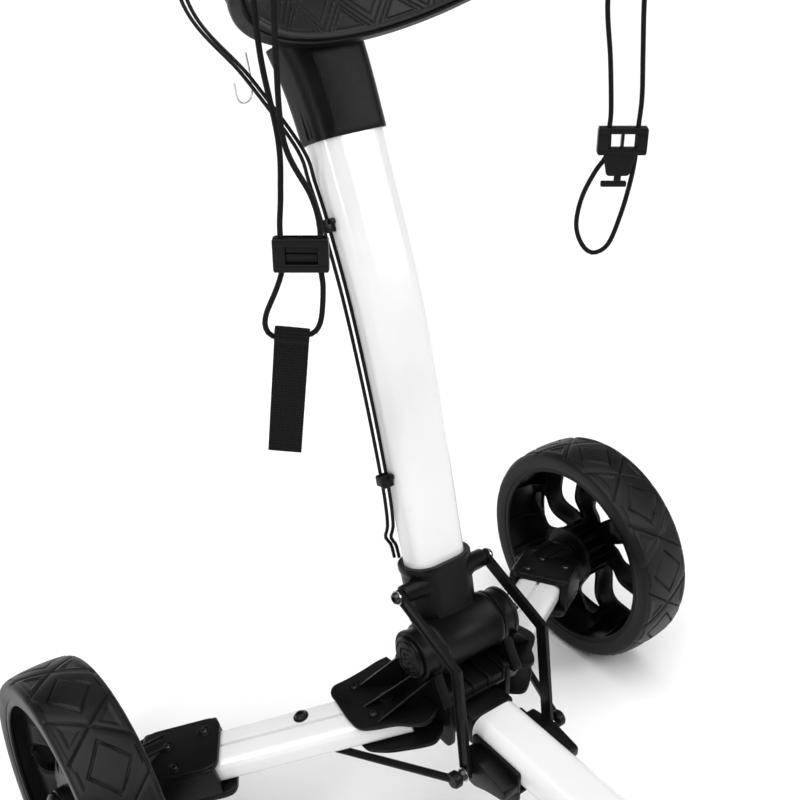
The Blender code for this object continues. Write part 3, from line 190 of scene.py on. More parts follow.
def woven(name, low, high, per_u, per_v, depth, diagonal=False):
    """Fabric drawn in the mesh's UVs, which are metres across and along, with painted shade in the weave's
    hollows and lighter crests.
    """
    n = Nodes(name)
    uv = n.add("ShaderNodeTexCoord").outputs["UV"]
    split = n.add("ShaderNodeSeparateXYZ")
    n.link(uv, split.inputs["Vector"])
    u = n.math("MULTIPLY", split.outputs["X"], per_u * math.pi)
    v = n.math("MULTIPLY", split.outputs["Y"], per_v * math.pi)
    if diagonal:
        u, v = n.math("ADD", u, v), n.math("SUBTRACT", u, v)
    weave = n.math("MULTIPLY", n.math("SINE", u, 0.0), n.math("SINE", v, 0.0))
    height = n.spread(n.math("ABSOLUTE", weave, 0.0), 0.0, 1.0, 0.0, 0.8)
    # painted shade: the colour follows the weave's height, darker in the hollows between yarns and lighter on
    # the crests
    n.link(n.ramp(height, low, high, 0.1, 0.9), n.shader.inputs["Base Color"])
    coords = n.add("ShaderNodeTexCoord").outputs["Object"]
    fibre = n.noise(coords, 2600.0, 2.0)
    first = n.bump(height, depth)
    n.link(n.bump(fibre, depth * 0.25, 1.0, first), n.shader.inputs["Normal"])
    n.link(n.spread(fibre, 0.6, 0.9), n.shader.inputs["Roughness"])
    n.shader.inputs["Specular IOR Level"].default_value = 0.1
    n.shader.inputs["Sheen Weight"].default_value = 0.02
    return n.material


WHITE = surface("white_gloss", (0.7, 0.705, 0.7), (0.74, 0.745, 0.74), (0.14, 0.24), 420.0, 0.00002,
                coat=0.35, patch_scale=9.0)
BLACK = surface("grained_black", (0.0022, 0.0022, 0.0023), (0.0045, 0.0045, 0.0047), (0.27, 0.4), 1200.0,
                0.00018, scratch=0.00004, specular=0.13)
SMOOTH_BLACK = surface("smooth_black", (0.002, 0.002, 0.0021), (0.0042, 0.0042, 0.0044), (0.22, 0.32),
                       900.0, 0.00003, scratch=0.00003, specular=0.13)
RIM_BLACK = surface("rim_black", (0.0022, 0.0022, 0.0023), (0.0045, 0.0045, 0.0047), (0.28, 0.4), 1200.0,
                    0.00006, scratch=0.00003, specular=0.12)
TYRE = surface("foam_tyre", (0.005, 0.005, 0.0052), (0.0115, 0.0114, 0.0112), (0.32, 0.48), 1500.0, 0.0001,
               patch_scale=26.0, scratch=0.00006, specular=0.16)
PAD = surface("pad_rubber", (0.009, 0.009, 0.0092), (0.018, 0.0177, 0.0174), (0.3, 0.46), 1600.0, 0.0001,
              patch_scale=24.0, specular=0.22)
METAL_BLACK = surface("satin_black_metal", (0.0022, 0.0022, 0.0023), (0.0048, 0.0048, 0.005), (0.24, 0.38),
                      1300.0, 0.00004, scratch=0.00005, specular=0.14)
BOLT_BLACK = surface("black_oxide", (0.03, 0.03, 0.032), (0.07, 0.07, 0.072), (0.22, 0.36), 900.0,
                     0.00003, metallic=0.9)
STEEL = surface("zinc_steel", (0.55, 0.55, 0.57), (0.72, 0.72, 0.73), (0.18, 0.34), 700.0, 0.00003,
                metallic=1.0, scratch=0.00004)
JACKET = surface("cable_jacket", (0.0022, 0.0022, 0.0023), (0.0048, 0.0048, 0.005), (0.26, 0.38), 1200.0,
                 0.00004, specular=0.12)
FOAM = surface("grip_foam", (0.01, 0.01, 0.0105), (0.02, 0.02, 0.0205), (0.68, 0.86), 1900.0, 0.0003,
               specular=0.25)
BRAID = woven("braided_cord", (0.003, 0.003, 0.0032), (0.015, 0.015, 0.0155), 420.0, 420.0, 0.00035, True)
WEBBING = woven("nylon_webbing", (0.0015, 0.0015, 0.0016), (0.008, 0.008, 0.0083), 620.0, 420.0, 0.00045)


# ---------------------------------------------------------------- shells
def placed(origin, x_axis, y_axis):
    """Matrix whose local X and Y lie along the given directions."""
    x = Vector(x_axis).normalized()
    z = x.cross(Vector(y_axis)).normalized()
    made = Matrix((x, z.cross(x), z)).transposed().to_4x4()
    made.translation = Vector(origin)
    return made


def along_x(x, y, z):
    """Local Z along +X, local X along +Y."""
    return placed((x, y, z), (0, 1, 0), (0, 0, 1))


def yz_plane(x=0.0):
    """Local X and Y are the row's Y and Z, local Z is the row's X."""
    return placed((x, 0, 0), (0, 1, 0), (0, 0, 1))


def mirror(matrix, side):
    return matrix if side == "left" else Matrix.Diagonal((-1, 1, 1, 1)) @ matrix


def side_axis(side, y, z):
    """Local Z along the cart's width and outward, at a place beside the middle plane."""
    return mirror(along_x(0, y, z), side)


def side_plane(side):
    """Local X and Y are the row's Y and Z, local Z is outward."""
    return mirror(yz_plane(), side)


def sign_of(side):
    return 1.0 if side == "left" else -1.0


def turned(angle, axis="Z"):
    return Matrix.Rotation(angle, 4, axis)


def round_z(count, start=0.0):
    """Turns about local Z, the same angle apart."""
    return [turned(2 * math.pi * k / count + start) for k in range(count)]


def rounded(outline, radius, steps=5):
    """The outline with each corner replaced by a curve that starts radius away from it."""
    made = []
    count = len(outline)
    for i in range(count):
        before, here, after = (Vector(outline[(i + k) % count]) for k in (-1, 0, 1))
        a = here + (before - here).normalized() * min(radius, (before - here).length * 0.48)
        b = here + (after - here).normalized() * min(radius, (after - here).length * 0.48)
        for k in range(steps + 1):
            t = k / steps
            made.append(tuple(a * (1 - t) ** 2 + here * 2 * t * (1 - t) + b * t * t))
    return made


def rounded_box(width, depth, corner, steps=8):
    """Rounded rectangle as (x, y) points."""
    made = []
    for k, (sx, sy) in enumerate(((1, 1), (-1, 1), (-1, -1), (1, -1))):
        for i in range(steps + 1):
            angle = QUARTER * (k + i / steps)
            made.append((sx * (width / 2 - corner) + corner * math.cos(angle),
                         sy * (depth / 2 - corner) + corner * math.sin(angle)))
    return made


def slab(outline, low, high, edge=0.0008, segments=2):
    """Outline extruded from low to high with rounded rims."""
    bm = bmesh.new()
    face = bm.faces.new([bm.verts.new((x, y, low)) for x, y in outline])
    grown = bmesh.ops.extrude_face_region(bm, geom=[face])["geom"]
    bmesh.ops.translate(bm, verts=[v for v in grown if isinstance(v, bmesh.types.BMVert)],
                        vec=(0, 0, high - low))
    bmesh.ops.recalc_face_normals(bm, faces=bm.faces[:])
    if edge:
        rims = [e for e in bm.edges if abs(e.verts[0].co.z - e.verts[1].co.z) < 1e-7]
        bmesh.ops.bevel(bm, geom=rims, offset=edge, segments=segments, profile=0.5,
                        affect="EDGES", clamp_overlap=True)
    return bm


def brick(low, high, edge=0.001, segments=3):
    bm = bmesh.new()
    bmesh.ops.create_cube(bm, size=1.0)
    size = [h - l for l, h in zip(low, high)]
    centre = [(h + l) / 2 for l, h in zip(low, high)]
    bm.transform(Matrix.Translation(centre) @ Matrix.Diagonal((*size, 1)))
    bmesh.ops.bevel(bm, geom=bm.edges[:], offset=edge, segments=segments, profile=0.5,
                    affect="EDGES", clamp_overlap=True)
    return bm


def lathe(profile, steps=64, closed=True):
    """Profile of (radius, z) turned about local Z."""
    bm = bmesh.new()
    rings = []
    for radius, z in profile:
        rings.append([bm.verts.new((radius * math.cos(2 * math.pi * i / steps),
                                    radius * math.sin(2 * math.pi * i / steps), z))
                      for i in range(steps)])
    pairs = list(zip(rings, rings[1:]))
    if closed:
        pairs.append((rings[-1], rings[0]))
    for a, b in pairs:
        for i in range(steps):
            j = (i + 1) % steps
            bm.faces.new((a[i], a[j], b[j], b[i]))
    bmesh.ops.remove_doubles(bm, verts=bm.verts[:], dist=1e-6)
    bmesh.ops.dissolve_degenerate(bm, dist=1e-7, edges=bm.edges[:])
    bmesh.ops.recalc_face_normals(bm, faces=bm.faces[:])
    return bm


def skin(rings, caps=True, closed=True):
    """Faces between rings of equal length; closed joins each ring's ends."""
    bm = bmesh.new()
    rows = [[bm.verts.new(p) for p in ring] for ring in rings]
    count = len(rows[0])
    for a, b in zip(rows, rows[1:]):
        for i in range(count if closed else count - 1):
            j = (i + 1) % count
            bm.faces.new((a[i], a[j], b[j], b[i]))
    if caps:
        bm.faces.new(rows[0][::-1])
        bm.faces.new(rows[-1])
    bmesh.ops.recalc_face_normals(bm, faces=bm.faces[:])
    return bm


def drum(radius, half, edge, steps, core=0.0):
    """Short round bar about local Z with chamfered ends, and a bore if core is given."""
    return lathe([(core, -half), (radius - edge, -half), (radius, edge - half), (radius, half - edge),
                  (radius - edge, half), (core, half)], steps, core > 0)


def pipe(inner, outer, low, high, steps):
    """Plain ring or, with inner 0, a plain pin about local Z."""
    return lathe([(inner, low), (outer, low), (outer, high), (inner, high)], steps, inner > 0)


def tube(points, radius, sides=12):
    """Round bar along a path; radius may be one number or one for each point."""
    points = [Vector(p) for p in points]
    radii = radius if isinstance(radius, (list, tuple)) else [radius] * len(points)
    rings = []
    across = None
    for i, point in enumerate(points):
        ahead = (points[min(i + 1, len(points) - 1)] - points[max(i - 1, 0)]).normalized()
        if across is None:
            across = ahead.orthogonal()
        across = (across - ahead * across.dot(ahead)).normalized()
        other = ahead.cross(across)
        rings.append([point + (across * math.cos(2 * math.pi * k / sides)
                               + other * math.sin(2 * math.pi * k / sides)) * radii[i]
                      for k in range(sides)])
    return skin(rings)


class Piece:
    """One visible piece made of shells that overlap or touch."""

    def __init__(self, name):
        self.name = name
        self.bm = bmesh.new()

    def add(self, bm, matrix=None):
        if matrix is not None:
            bm.transform(matrix)
            if matrix.determinant() < 0:
                bmesh.ops.reverse_faces(bm, faces=bm.faces[:])
        mesh = bpy.data.meshes.new("shell")
        bm.to_mesh(mesh)
        bm.free()
        self.bm.from_mesh(mesh)
        bpy.data.meshes.remove(mesh)
        return self

    def bricks(self, matrix, edge, segments, *corners):
        """One rounded box for each (low, high) pair of corners."""
        for low, high in corners:
            self.add(brick(low, high, edge, segments), matrix)

    def finish(self, body, material, hides=(), sharp=35.0):
        mesh = bpy.data.meshes.new(self.name)
        self.bm.to_mesh(mesh)
        self.bm.free()
        dressed(bpy.data.objects.new(self.name, mesh), body, material, hides, sharp)


def dressed(obj, body, material, hides=(), sharp=35.0):
    """Puts an object in the scene with its material, body, slot and the CAD nodes it stands for."""
    bpy.context.scene.collection.objects.link(obj)
    obj.data.materials.clear()
    obj.data.materials.append(material)
    if obj.type == "MESH":
        obj.data.shade_smooth()
        obj.data.set_sharp_from_angle(angle=math.radians(sharp))
    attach(obj, body)
    if hides:
        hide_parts(*hides)


def socket_screw(piece, matrix, radius=0.0036, height=0.0022):
    """Round-headed screw with a hexagon socket, head standing on local Z = 0."""
    inner = radius * 0.48
    piece.add(lathe([(0.0, -0.001), (radius, -0.001), (radius, height * 0.45), (radius * 0.8, height * 0.9),
                     (inner, height), (inner * 0.95, height * 0.2), (0.0, height * 0.2)], 18, False),
              matrix)


# ---------------------------------------------------------------- wheels
TREAD_COUNT = 10            # crossings round a tyre
CROSS_RUN = 0.0245          # how far an arm of a crossing runs round the tyre
CROSS_RISE = 0.03          # while it runs this far across it
TREAD_PERIOD = 2 * CROSS_RUN + 2 * 0.0163
DIAMOND_RUN, DIAMOND_RISE = 0.025, 0.0195
TYRE_STEPS, TYRE_ROWS = 900, 76
SHOULDER_R = 0.005


def groove(distance, width, depth):
    """Depth of a groove with sloped sides, from the distance to its middle line."""
    return depth * np.clip((width - distance) / (0.45 * width), 0.0, 1.0)


def tread_depth(around, across):
    """How deep the tread is cut, from metres round the tyre and across it."""
    a = np.abs((around / TREAD_PERIOD + 0.5) % 1.0 - 0.5) * TREAD_PERIOD
    b = np.abs(across)
    arm_length = math.hypot(CROSS_RUN, CROSS_RISE)
    off_arm = (a * CROSS_RISE - b * CROSS_RUN) / arm_length
    depth = groove(np.abs(off_arm), 0.0011, 0.0013)
    depth += 0.001 * np.clip(1 - np.abs(off_arm) / 0.0065, 0, 1) ** 1.5
    # diamond outlined between two crossings
    mid = TREAD_PERIOD / 2 - a
    slope = DIAMOND_RUN * DIAMOND_RISE / math.hypot(DIAMOND_RUN, DIAMOND_RISE)
    ring = (mid / DIAMOND_RUN + b / DIAMOND_RISE - 1.0) * slope
    depth = np.maximum(depth, groove(np.abs(ring), 0.0013, 0.0018))
    # sunk triangles at both sides of a crossing
    inside = np.minimum(-off_arm - 0.0042, 0.0245 - b)
    depth = np.maximum(depth, 0.0017 * np.clip(inside / 0.003, 0, 1) * (1 - 0.35 * np.clip(
        (b - 0.01) / 0.015, 0, 1)))
    # short notches beside the diamond's outer points
    notch = np.maximum(np.abs(mid) - 0.0085, np.abs(b - 0.0265) - 0.0011)
    return np.maximum(depth, 0.0016 * np.clip(-notch / 0.0006, 0, 1))


def make_tyre(node, body, count):
    low, high = (np.array(v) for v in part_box(node))
    centre = Vector((low + high) / 2)
    radius = (high[2] - low[2]) / 2
    half = (high[0] - low[0]) / 2
    seat = radius - (0.02 if half > 0.03 else 0.018)
    crown = 0.0026
    wall_r = radius - crown - 0.0055
    inner = [(seat, -half + 0.0015), (seat + 0.004, -half + 0.0004), (wall_r, -half)]
    shoulder = [(wall_r + SHOULDER_R * math.sin(t), -half + SHOULDER_R * (1 - math.cos(t)))
                for t in (0.4, 0.8, 1.2, QUARTER)]
    tread_x = np.linspace(-half + 0.0056, half - 0.0056, TYRE_ROWS)
    tread = [(radius - (crown + 0.0005) * (abs(x) / half) ** 2.2, x) for x in tread_x]
    profile = inner + shoulder + tread + [(r, -x) for r, x in (inner + shoulder)[::-1]]
    radii = np.array([p[0] for p in profile])
    xs = np.array([p[1] for p in profile])
    angles = np.linspace(0, 2 * math.pi, TYRE_STEPS, endpoint=False)
    around = angles[:, None] / (2 * math.pi) * count * TREAD_PERIOD
    across = xs[None, :] * (0.033 / half)
    edge_fade = np.clip((half - 0.0008 - np.abs(xs)) / 0.003, 0, 1)[None, :]
    on_tread = (radii > radius - crown - 0.004)[None, :]
    cut = tread_depth(around + 0 * across, across + 0 * around) * edge_fade * on_tread
    r = radii[None, :] - cut
    ys = centre.y - r * np.cos(angles)[:, None]
    zs = centre.z + r * np.sin(angles)[:, None]
    verts = np.stack([np.broadcast_to(centre.x + xs, r.shape), ys, zs], axis=-1).reshape(-1, 3)
    cols = len(profile)
    i, j = np.meshgrid(np.arange(TYRE_STEPS), np.arange(cols), indexing="ij")
    k, m = (i + 1) % TYRE_STEPS, (j + 1) % cols
    faces = np.stack([i * cols + j, k * cols + j, k * cols + m, i * cols + m], axis=-1).reshape(-1, 4)
    mesh = bpy.data.meshes.new(node + "_tread")
    mesh.from_pydata(verts.tolist(), [], faces.tolist())
    mesh.update()
    dressed(bpy.data.objects.new(node + "_tread", mesh), body, TYRE, (node,), 50.0)


def petal_half(t):
    """Half width of a window, 0 at the hub's side, as a share of its widest."""
    return math.sin(math.pi * t) ** 0.75 * (0.26 + 0.74 * t ** 1.3) * 1.12


def make_rim(node, body, out_sign, spokes=7):
    low, high = (np.array(v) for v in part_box(node))
    centre = (low + high) / 2
    rim_r = (high[2] - low[2]) / 2
    half = (high[0] - low[0]) / 2
    inner_r = rim_r - 0.006
    hub_r = 0.02
    hub_in, hub_out = -(half - 0.001), half - 0.005
    face = placed(centre, (0, 1, 0), (0, 0, 1))
    if out_sign < 0:
        face = face @ turned(math.pi, "X")
    piece = Piece(node + "_shape")
    # barrel with a rolled bead at both edges
    wall_r, bead_r = rim_r - 0.0032, rim_r - 0.0062
    edge = [(bead_r + 0.0012, half), (bead_r, half - 0.0012), (bead_r, half - 0.003),
            (wall_r - 0.0008, half - 0.0046)]
    piece.add(lathe([(rim_r, -half), (rim_r, half)] + edge + [(wall_r - 0.0018, 0.0)]
                    + [(r, -z) for r, z in edge[::-1]], 144), face)
    # dished disc with teardrop windows between its petals
    r0, r1 = hub_r + 0.013, inner_r - 0.0015
    widest = 0.0225 * rim_r / 0.11
    rows, columns = 34, 20
    lean = 0.16
    thick = 0.0042
    sector = 2 * math.pi / spokes
    radii = [hub_r - 0.002 + (inner_r + 0.004 - hub_r + 0.002) * (i / rows) for i in range(rows + 1)]

    def window_at(r):
        t = (r - r0) / (r1 - r0)
        return petal_half(t) * widest / r if 0 < t < 1 else 0.0

    bm = bmesh.new()
    for k in range(spokes):
        for flip in (1, -1):
            grid = []
            for r in radii:
                t = min(max((r - r0) / (r1 - r0), 0), 1)
                start = window_at(r)
                row = []
                for c in range(columns + 1):
                    s = c / columns
                    angle = start + (sector / 2 - start) * s
                    dish = 0.25 * half + 0.004 - 0.01 * math.sin(math.pi * min(t * 1.15, 1)) ** 2
                    fold = 0.0075 * (s ** 1.6) * math.sin(math.pi * min(t * 1.05, 1))
                    lip = 0.0022 * math.exp(-(s / 0.1) ** 2) * (1 if start else 0)
                    z = dish - fold - lip
                    turn = sector * k + flip * angle + lean * t
                    row.append((r * math.cos(turn), r * math.sin(turn), z))
                grid.append(row)
            upper = [[bm.verts.new(p) for p in row] for row in grid]
            lower = [[bm.verts.new((p[0], p[1], p[2] + thick)) for p in row] for row in grid]
            for i in range(rows):
                gap_here = window_at(radii[i]) > 0 or window_at(radii[i + 1]) > 0
                for c in range(columns):
                    bm.faces.new((upper[i][c], upper[i][c + 1], upper[i + 1][c + 1], upper[i + 1][c]))
                    bm.faces.new((lower[i][c], lower[i + 1][c], lower[i + 1][c + 1], lower[i][c + 1]))
                if gap_here:
                    bm.faces.new((upper[i][0], upper[i + 1][0], lower[i + 1][0], lower[i][0]))
    bmesh.ops.remove_doubles(bm, verts=bm.verts[:], dist=2e-5)
    bmesh.ops.recalc_face_normals(bm, faces=bm.faces[:])
    piece.add(bm, face)
    # fins that run out along the barrel from both edges of each window
    for k in range(spokes):
        for flip in (1, -1):
            turn = sector * k + flip * sector * 0.29 + lean
            fin = skin([[(rim_r - 0.003, -0.0011, z), (rim_r - 0.003, 0.0011, z),
                         (r_in, 0.0009, z), (r_in, -0.0009, z)]
                        for z, r_in in ((-half + 0.005, rim_r - 0.0068), (-half * 0.3, rim_r - 0.0085),
                                        (0.25 * half - 0.002, rim_r - 0.015),
                                        (0.25 * half + 0.004, rim_r - 0.018))])
            piece.add(fin, face @ turned(turn))
    # hub sleeve, lock ring and the ribs on the sleeve
    bore = 0.0074
    disc = 0.25 * half
    lock = hub_r + 0.014
    piece.add(lathe([(bore, hub_in), (hub_r - 0.001, hub_in), (hub_r, hub_in + 0.001),
                     (hub_r + 0.0015, disc), (hub_r, hub_out - 0.001),
                     (hub_r - 0.001, hub_out), (bore, hub_out)], 72), face)
    piece.add(lathe([(hub_r - 0.002, hub_in + 0.0004), (lock - 0.001, hub_in + 0.0004),
                     (lock, hub_in + 0.0012), (lock, hub_in + 0.0046), (hub_r - 0.002, hub_in + 0.0046)],
                    72), face)
    for turn in round_z(16, math.pi / 16):
        piece.add(brick((hub_r - 0.002, -0.001, hub_in + 0.004), (lock - 0.0015, 0.001, disc - 0.001),
                        0.0003, 1), face @ turn)
    piece.finish(body, RIM_BLACK, (node,), 32.0)
    return face, hub_out


def make_wheels():
    for side in SIDES:
        body = "wheel_" + side
        make_tyre(body + "_tyre", body, TREAD_COUNT)
        face, hub_out = make_rim(body + "_rim", body, sign_of(side))
        cap = Piece("hub_cap_%s_shape" % side)
        top = hub_out + 0.0085
        cap.add(lathe([(0.0, top - 0.0012), (0.006, top - 0.0012), (0.0068, top), (0.0115, top - 0.0002),
                       (0.015, top - 0.0012), (0.018, top - 0.0034), (0.019, top - 0.006),
                       (0.019, hub_out + GAP), (0.0, hub_out + GAP)], 64, False), face)
        for turn in round_z(3):
            cap.add(brick((0.0175, -0.0022, hub_out + 0.0006), (0.0205, 0.0022, hub_out + 0.004), 0.0006, 2),
                    face @ turn)
        cap.finish(body, SMOOTH_BLACK, ("hub_cap_" + side,))
    make_tyre("front_wheel_tyre", "front_wheel", TREAD_COUNT - 1)
    make_rim("front_wheel_rim", "front_wheel", 1.0)


# ---------------------------------------------------------------- rear arms and end brackets
TIE_DROP = 0.009           # tie rod's line below the underside of a rear arm
TIE_BOLT = (0.0845, 0.01)  # its bolt, along and across the arm
ARM_CORNER = 0.0085
END_SCREWS = ((0.178, 0.016), (0.204, -0.021), (0.214, 0.008))
GROOVE_BELOW = ((-0.0022, 0.0), (-0.0012, 0.0014), (0.0012, 0.0014), (0.0022, 0.0))
GROOVE_ABOVE = ((0.002, 0.0), (0.0016, 0.0005), (0.0015, 0.0036), (-0.0015, 0.0036), (-0.0016, 0.0005),
                (-0.002, 0.0))


def arm_place(side):
    across = Vector((-ARM_DIRECTION.y, ARM_DIRECTION.x, 0))
    return mirror(placed(ARM_PIVOT, ARM_DIRECTION, across), side)


def arm_section(u):
    """Flat oval with a lengthwise groove along its top and bottom, in the plane across the arm."""
    made = []
    flat = ARM_W / 2 - ARM_CORNER
    for v, w in rounded_box(ARM_W, ARM_H, ARM_CORNER, 7):
        made.append((u, v, w))
        if abs(v + flat) < 1e-6 and w < 0:
            made += [(u, x, -ARM_H / 2 + d) for x, d in GROOVE_BELOW]
        if abs(v - flat) < 1e-6 and w > 0:
            made += [(u, x, ARM_H / 2 - d) for x, d in GROOVE_ABOVE]
    return made


def make_rear_arm(side):
    place = arm_place(side)
    body = "rear_arm_" + side
    arm = Piece("arm_%s_shape" % side)
    arm.add(skin([arm_section(u) for u in (-0.016, 0.05, 0.1, 0.15, ARM_END)]), place)
    arm.finish(body, WHITE, ("arm_tube_" + side,), 50.0)

    bracket = Piece("end_bracket_%s_shape" % side)
    u0, u1, half_w, half_h = 0.163, 0.24, 0.033, 0.02
    cover = rounded([(u0, -half_w), (u1, -half_w), (u1, half_w), (u0, half_w)], 0.015, 8)
    bracket.add(slab(cover, ARM_H / 2 + GAP, half_h, 0.0022, 4), place)
    tray = rounded([(u0 - 0.008, -half_w - 0.0015), (u1 - 0.002, -half_w - 0.0015),
                    (u1 - 0.002, half_w + 0.0015), (u0 - 0.008, half_w + 0.0015)], 0.012, 8)
    bracket.add(slab(tray, -half_h, -ARM_H / 2 - GAP, 0.0022, 4), place)
    for v0, v1 in ((-half_w - 0.001, -ARM_W / 2 - 0.0008), (ARM_W / 2 + 0.0008, half_w + 0.001)):
        bracket.add(brick((u0 + 0.004, v0, -half_h + 0.002), (u1 - 0.001, v1, half_h - 0.0018), 0.0022, 3),
                    place)
    bracket.add(brick((ARM_END + 0.002, -half_w + 0.001, -half_h + 0.002),
                      (u1, half_w - 0.001, half_h - 0.001), 0.0022, 3), place)
    for u, v in END_SCREWS:
        bracket.add(lathe([(0.0066, half_h - 0.001), (0.0066, half_h + 0.0003), (0.0058, half_h + 0.0008),
                           (0.005, half_h + 0.0003), (0.005, half_h - 0.001)], 28),
                    place @ Matrix.Translation((u, v, 0)))
    hub_face = WHEEL_X - 0.034
    axle = side_axis(side, AXLE_Y, WHEEL_Z)
    bracket.add(lathe([(0.0, 0.23), (0.02, 0.23), (0.0212, 0.24), (0.0212, hub_face - 0.01),
                       (0.0198, hub_face - 0.0092), (0.0198, hub_face - 0.0072), (0.021, hub_face - 0.0064),
                       (0.021, hub_face - 0.001), (0.02, hub_face), (0.0, hub_face)], 56, False), axle)
    for turn in round_z(8, 0.3):
        bracket.add(brick((0.014, -0.001, 0.226), (0.0226, 0.001, hub_face - 0.011), 0.0004, 1), axle @ turn)
    pin = side_axis(side, AXLE_Y + 0.024, WHEEL_Z)
    bracket.add(lathe([(0.0046, 0.232), (0.0085, 0.232), (0.0085, hub_face - 0.0008),
                       (0.0078, hub_face), (0.0046, hub_face)], 32), pin)
    bracket.finish(body, BLACK, ("end_bracket_" + side,), 40.0)

    screws = Piece("end_bracket_screws_" + side)
    for u, v in END_SCREWS:
        socket_screw(screws, place @ Matrix.Translation((u, v, half_h - 0.0004)), 0.0036)
    screws.finish(body, BOLT_BLACK)

    rod = Piece("tie_rod_%s_shape" % side)
    low = -ARM_H / 2 - GAP
    bolt = place @ Matrix.Translation((*TIE_BOLT, 0))
    start = bolt @ Vector((0, 0, low - TIE_DROP))
    end = Vector((sign_of(side) * (LINK_X + LINK_T + 0.0105), *LINK_PIN))
    ahead = (end - start).normalized()
    rod.add(tube([start, start + ahead * 0.01, end - ahead * 0.012, end], 0.0037, 20))
    rod.add(lathe([(0.0, low), (0.0066, low), (0.0074, low - 0.001), (0.0074, low - TIE_DROP - 0.0038),
                   (0.0066, low - TIE_DROP - 0.0045), (0.0, low - TIE_DROP - 0.0045)], 32, False), bolt)
    ball = mirror(along_x(abs(end.x), *LINK_PIN), side)
    rod.add(lathe([(0.0, -0.0042), (0.0064, -0.0042), (0.0078, -0.0026), (0.0078, 0.0026), (0.0064, 0.0042),
                   (0.0, 0.0042)], 32, False), ball)
    rod.add(pipe(0.0, 0.0034, low - 0.002, ARM_H / 2, 20), bolt)
    rod.finish("tie_rod_" + side, METAL_BLACK, ("tie_rod_" + side,))
    head = Piece("tie_rod_bolt_" + side)
    head.add(pipe(0.003, 0.0072, ARM_H / 2 + 0.0002, ARM_H / 2 + 0.0011, 32), bolt)
    socket_screw(head, bolt @ Matrix.Translation((0, 0, ARM_H / 2 + 0.001)), 0.0054, 0.0036)
    head.finish("tie_rod_" + side, BOLT_BLACK)


# ---------------------------------------------------------------- knuckle, side brackets and links
UPPER_PLATE = [(0.05, 0.016), (0.055, 0.026), (0.052, 0.036), (0.041, 0.0385), (0.022, 0.046),
               (0.003, 0.056), (-0.02, 0.058), (-0.05, 0.02), (-0.05, -0.02), (-0.036, -0.042),
               (-0.022, -0.041), (-0.006, -0.033), (0.014, -0.032), (0.03, -0.028), (0.04, -0.01)]
LOWER_PLATE = [(0.05, 0.018), (0.046, 0.028), (0.02, 0.032), (-0.01, 0.034), (-0.04, 0.02),
               (-0.044, -0.02), (-0.036, -0.038), (-0.02, -0.038), (0.01, -0.034),
               (0.03, -0.026), (0.04, -0.006)]


BRACKET_SCREWS = ((0.03, 0.027), (0.014, -0.014))
# one rib each: its foot along and across the arm, and where it stands along Y from the rear axle
BRACKET_RIBS = ((0.028, 0.026, -0.128), (0.024, -0.002, -0.1555), (0.012, -0.026, -0.17),
                (-0.006, 0.034, -0.119))


def clear_of_knuckle(bm, side):
    """Cuts away what lies inside the knuckle's cheeks; the shell is already in the row frame."""
    geometry = bm.verts[:] + bm.edges[:] + bm.faces[:]
    sign = sign_of(side)
    bmesh.ops.bisect_plane(bm, geom=geometry, plane_co=(sign * (CHEEK_X + GAP), 0, 0),
                           plane_no=(sign, 0, 0), clear_inner=True)
    edges = [e for e in bm.edges if e.is_boundary]
    if edges:
        bmesh.ops.holes_fill(bm, edges=edges, sides=0)
    bmesh.ops.recalc_face_normals(bm, faces=bm.faces[:])
    return bm


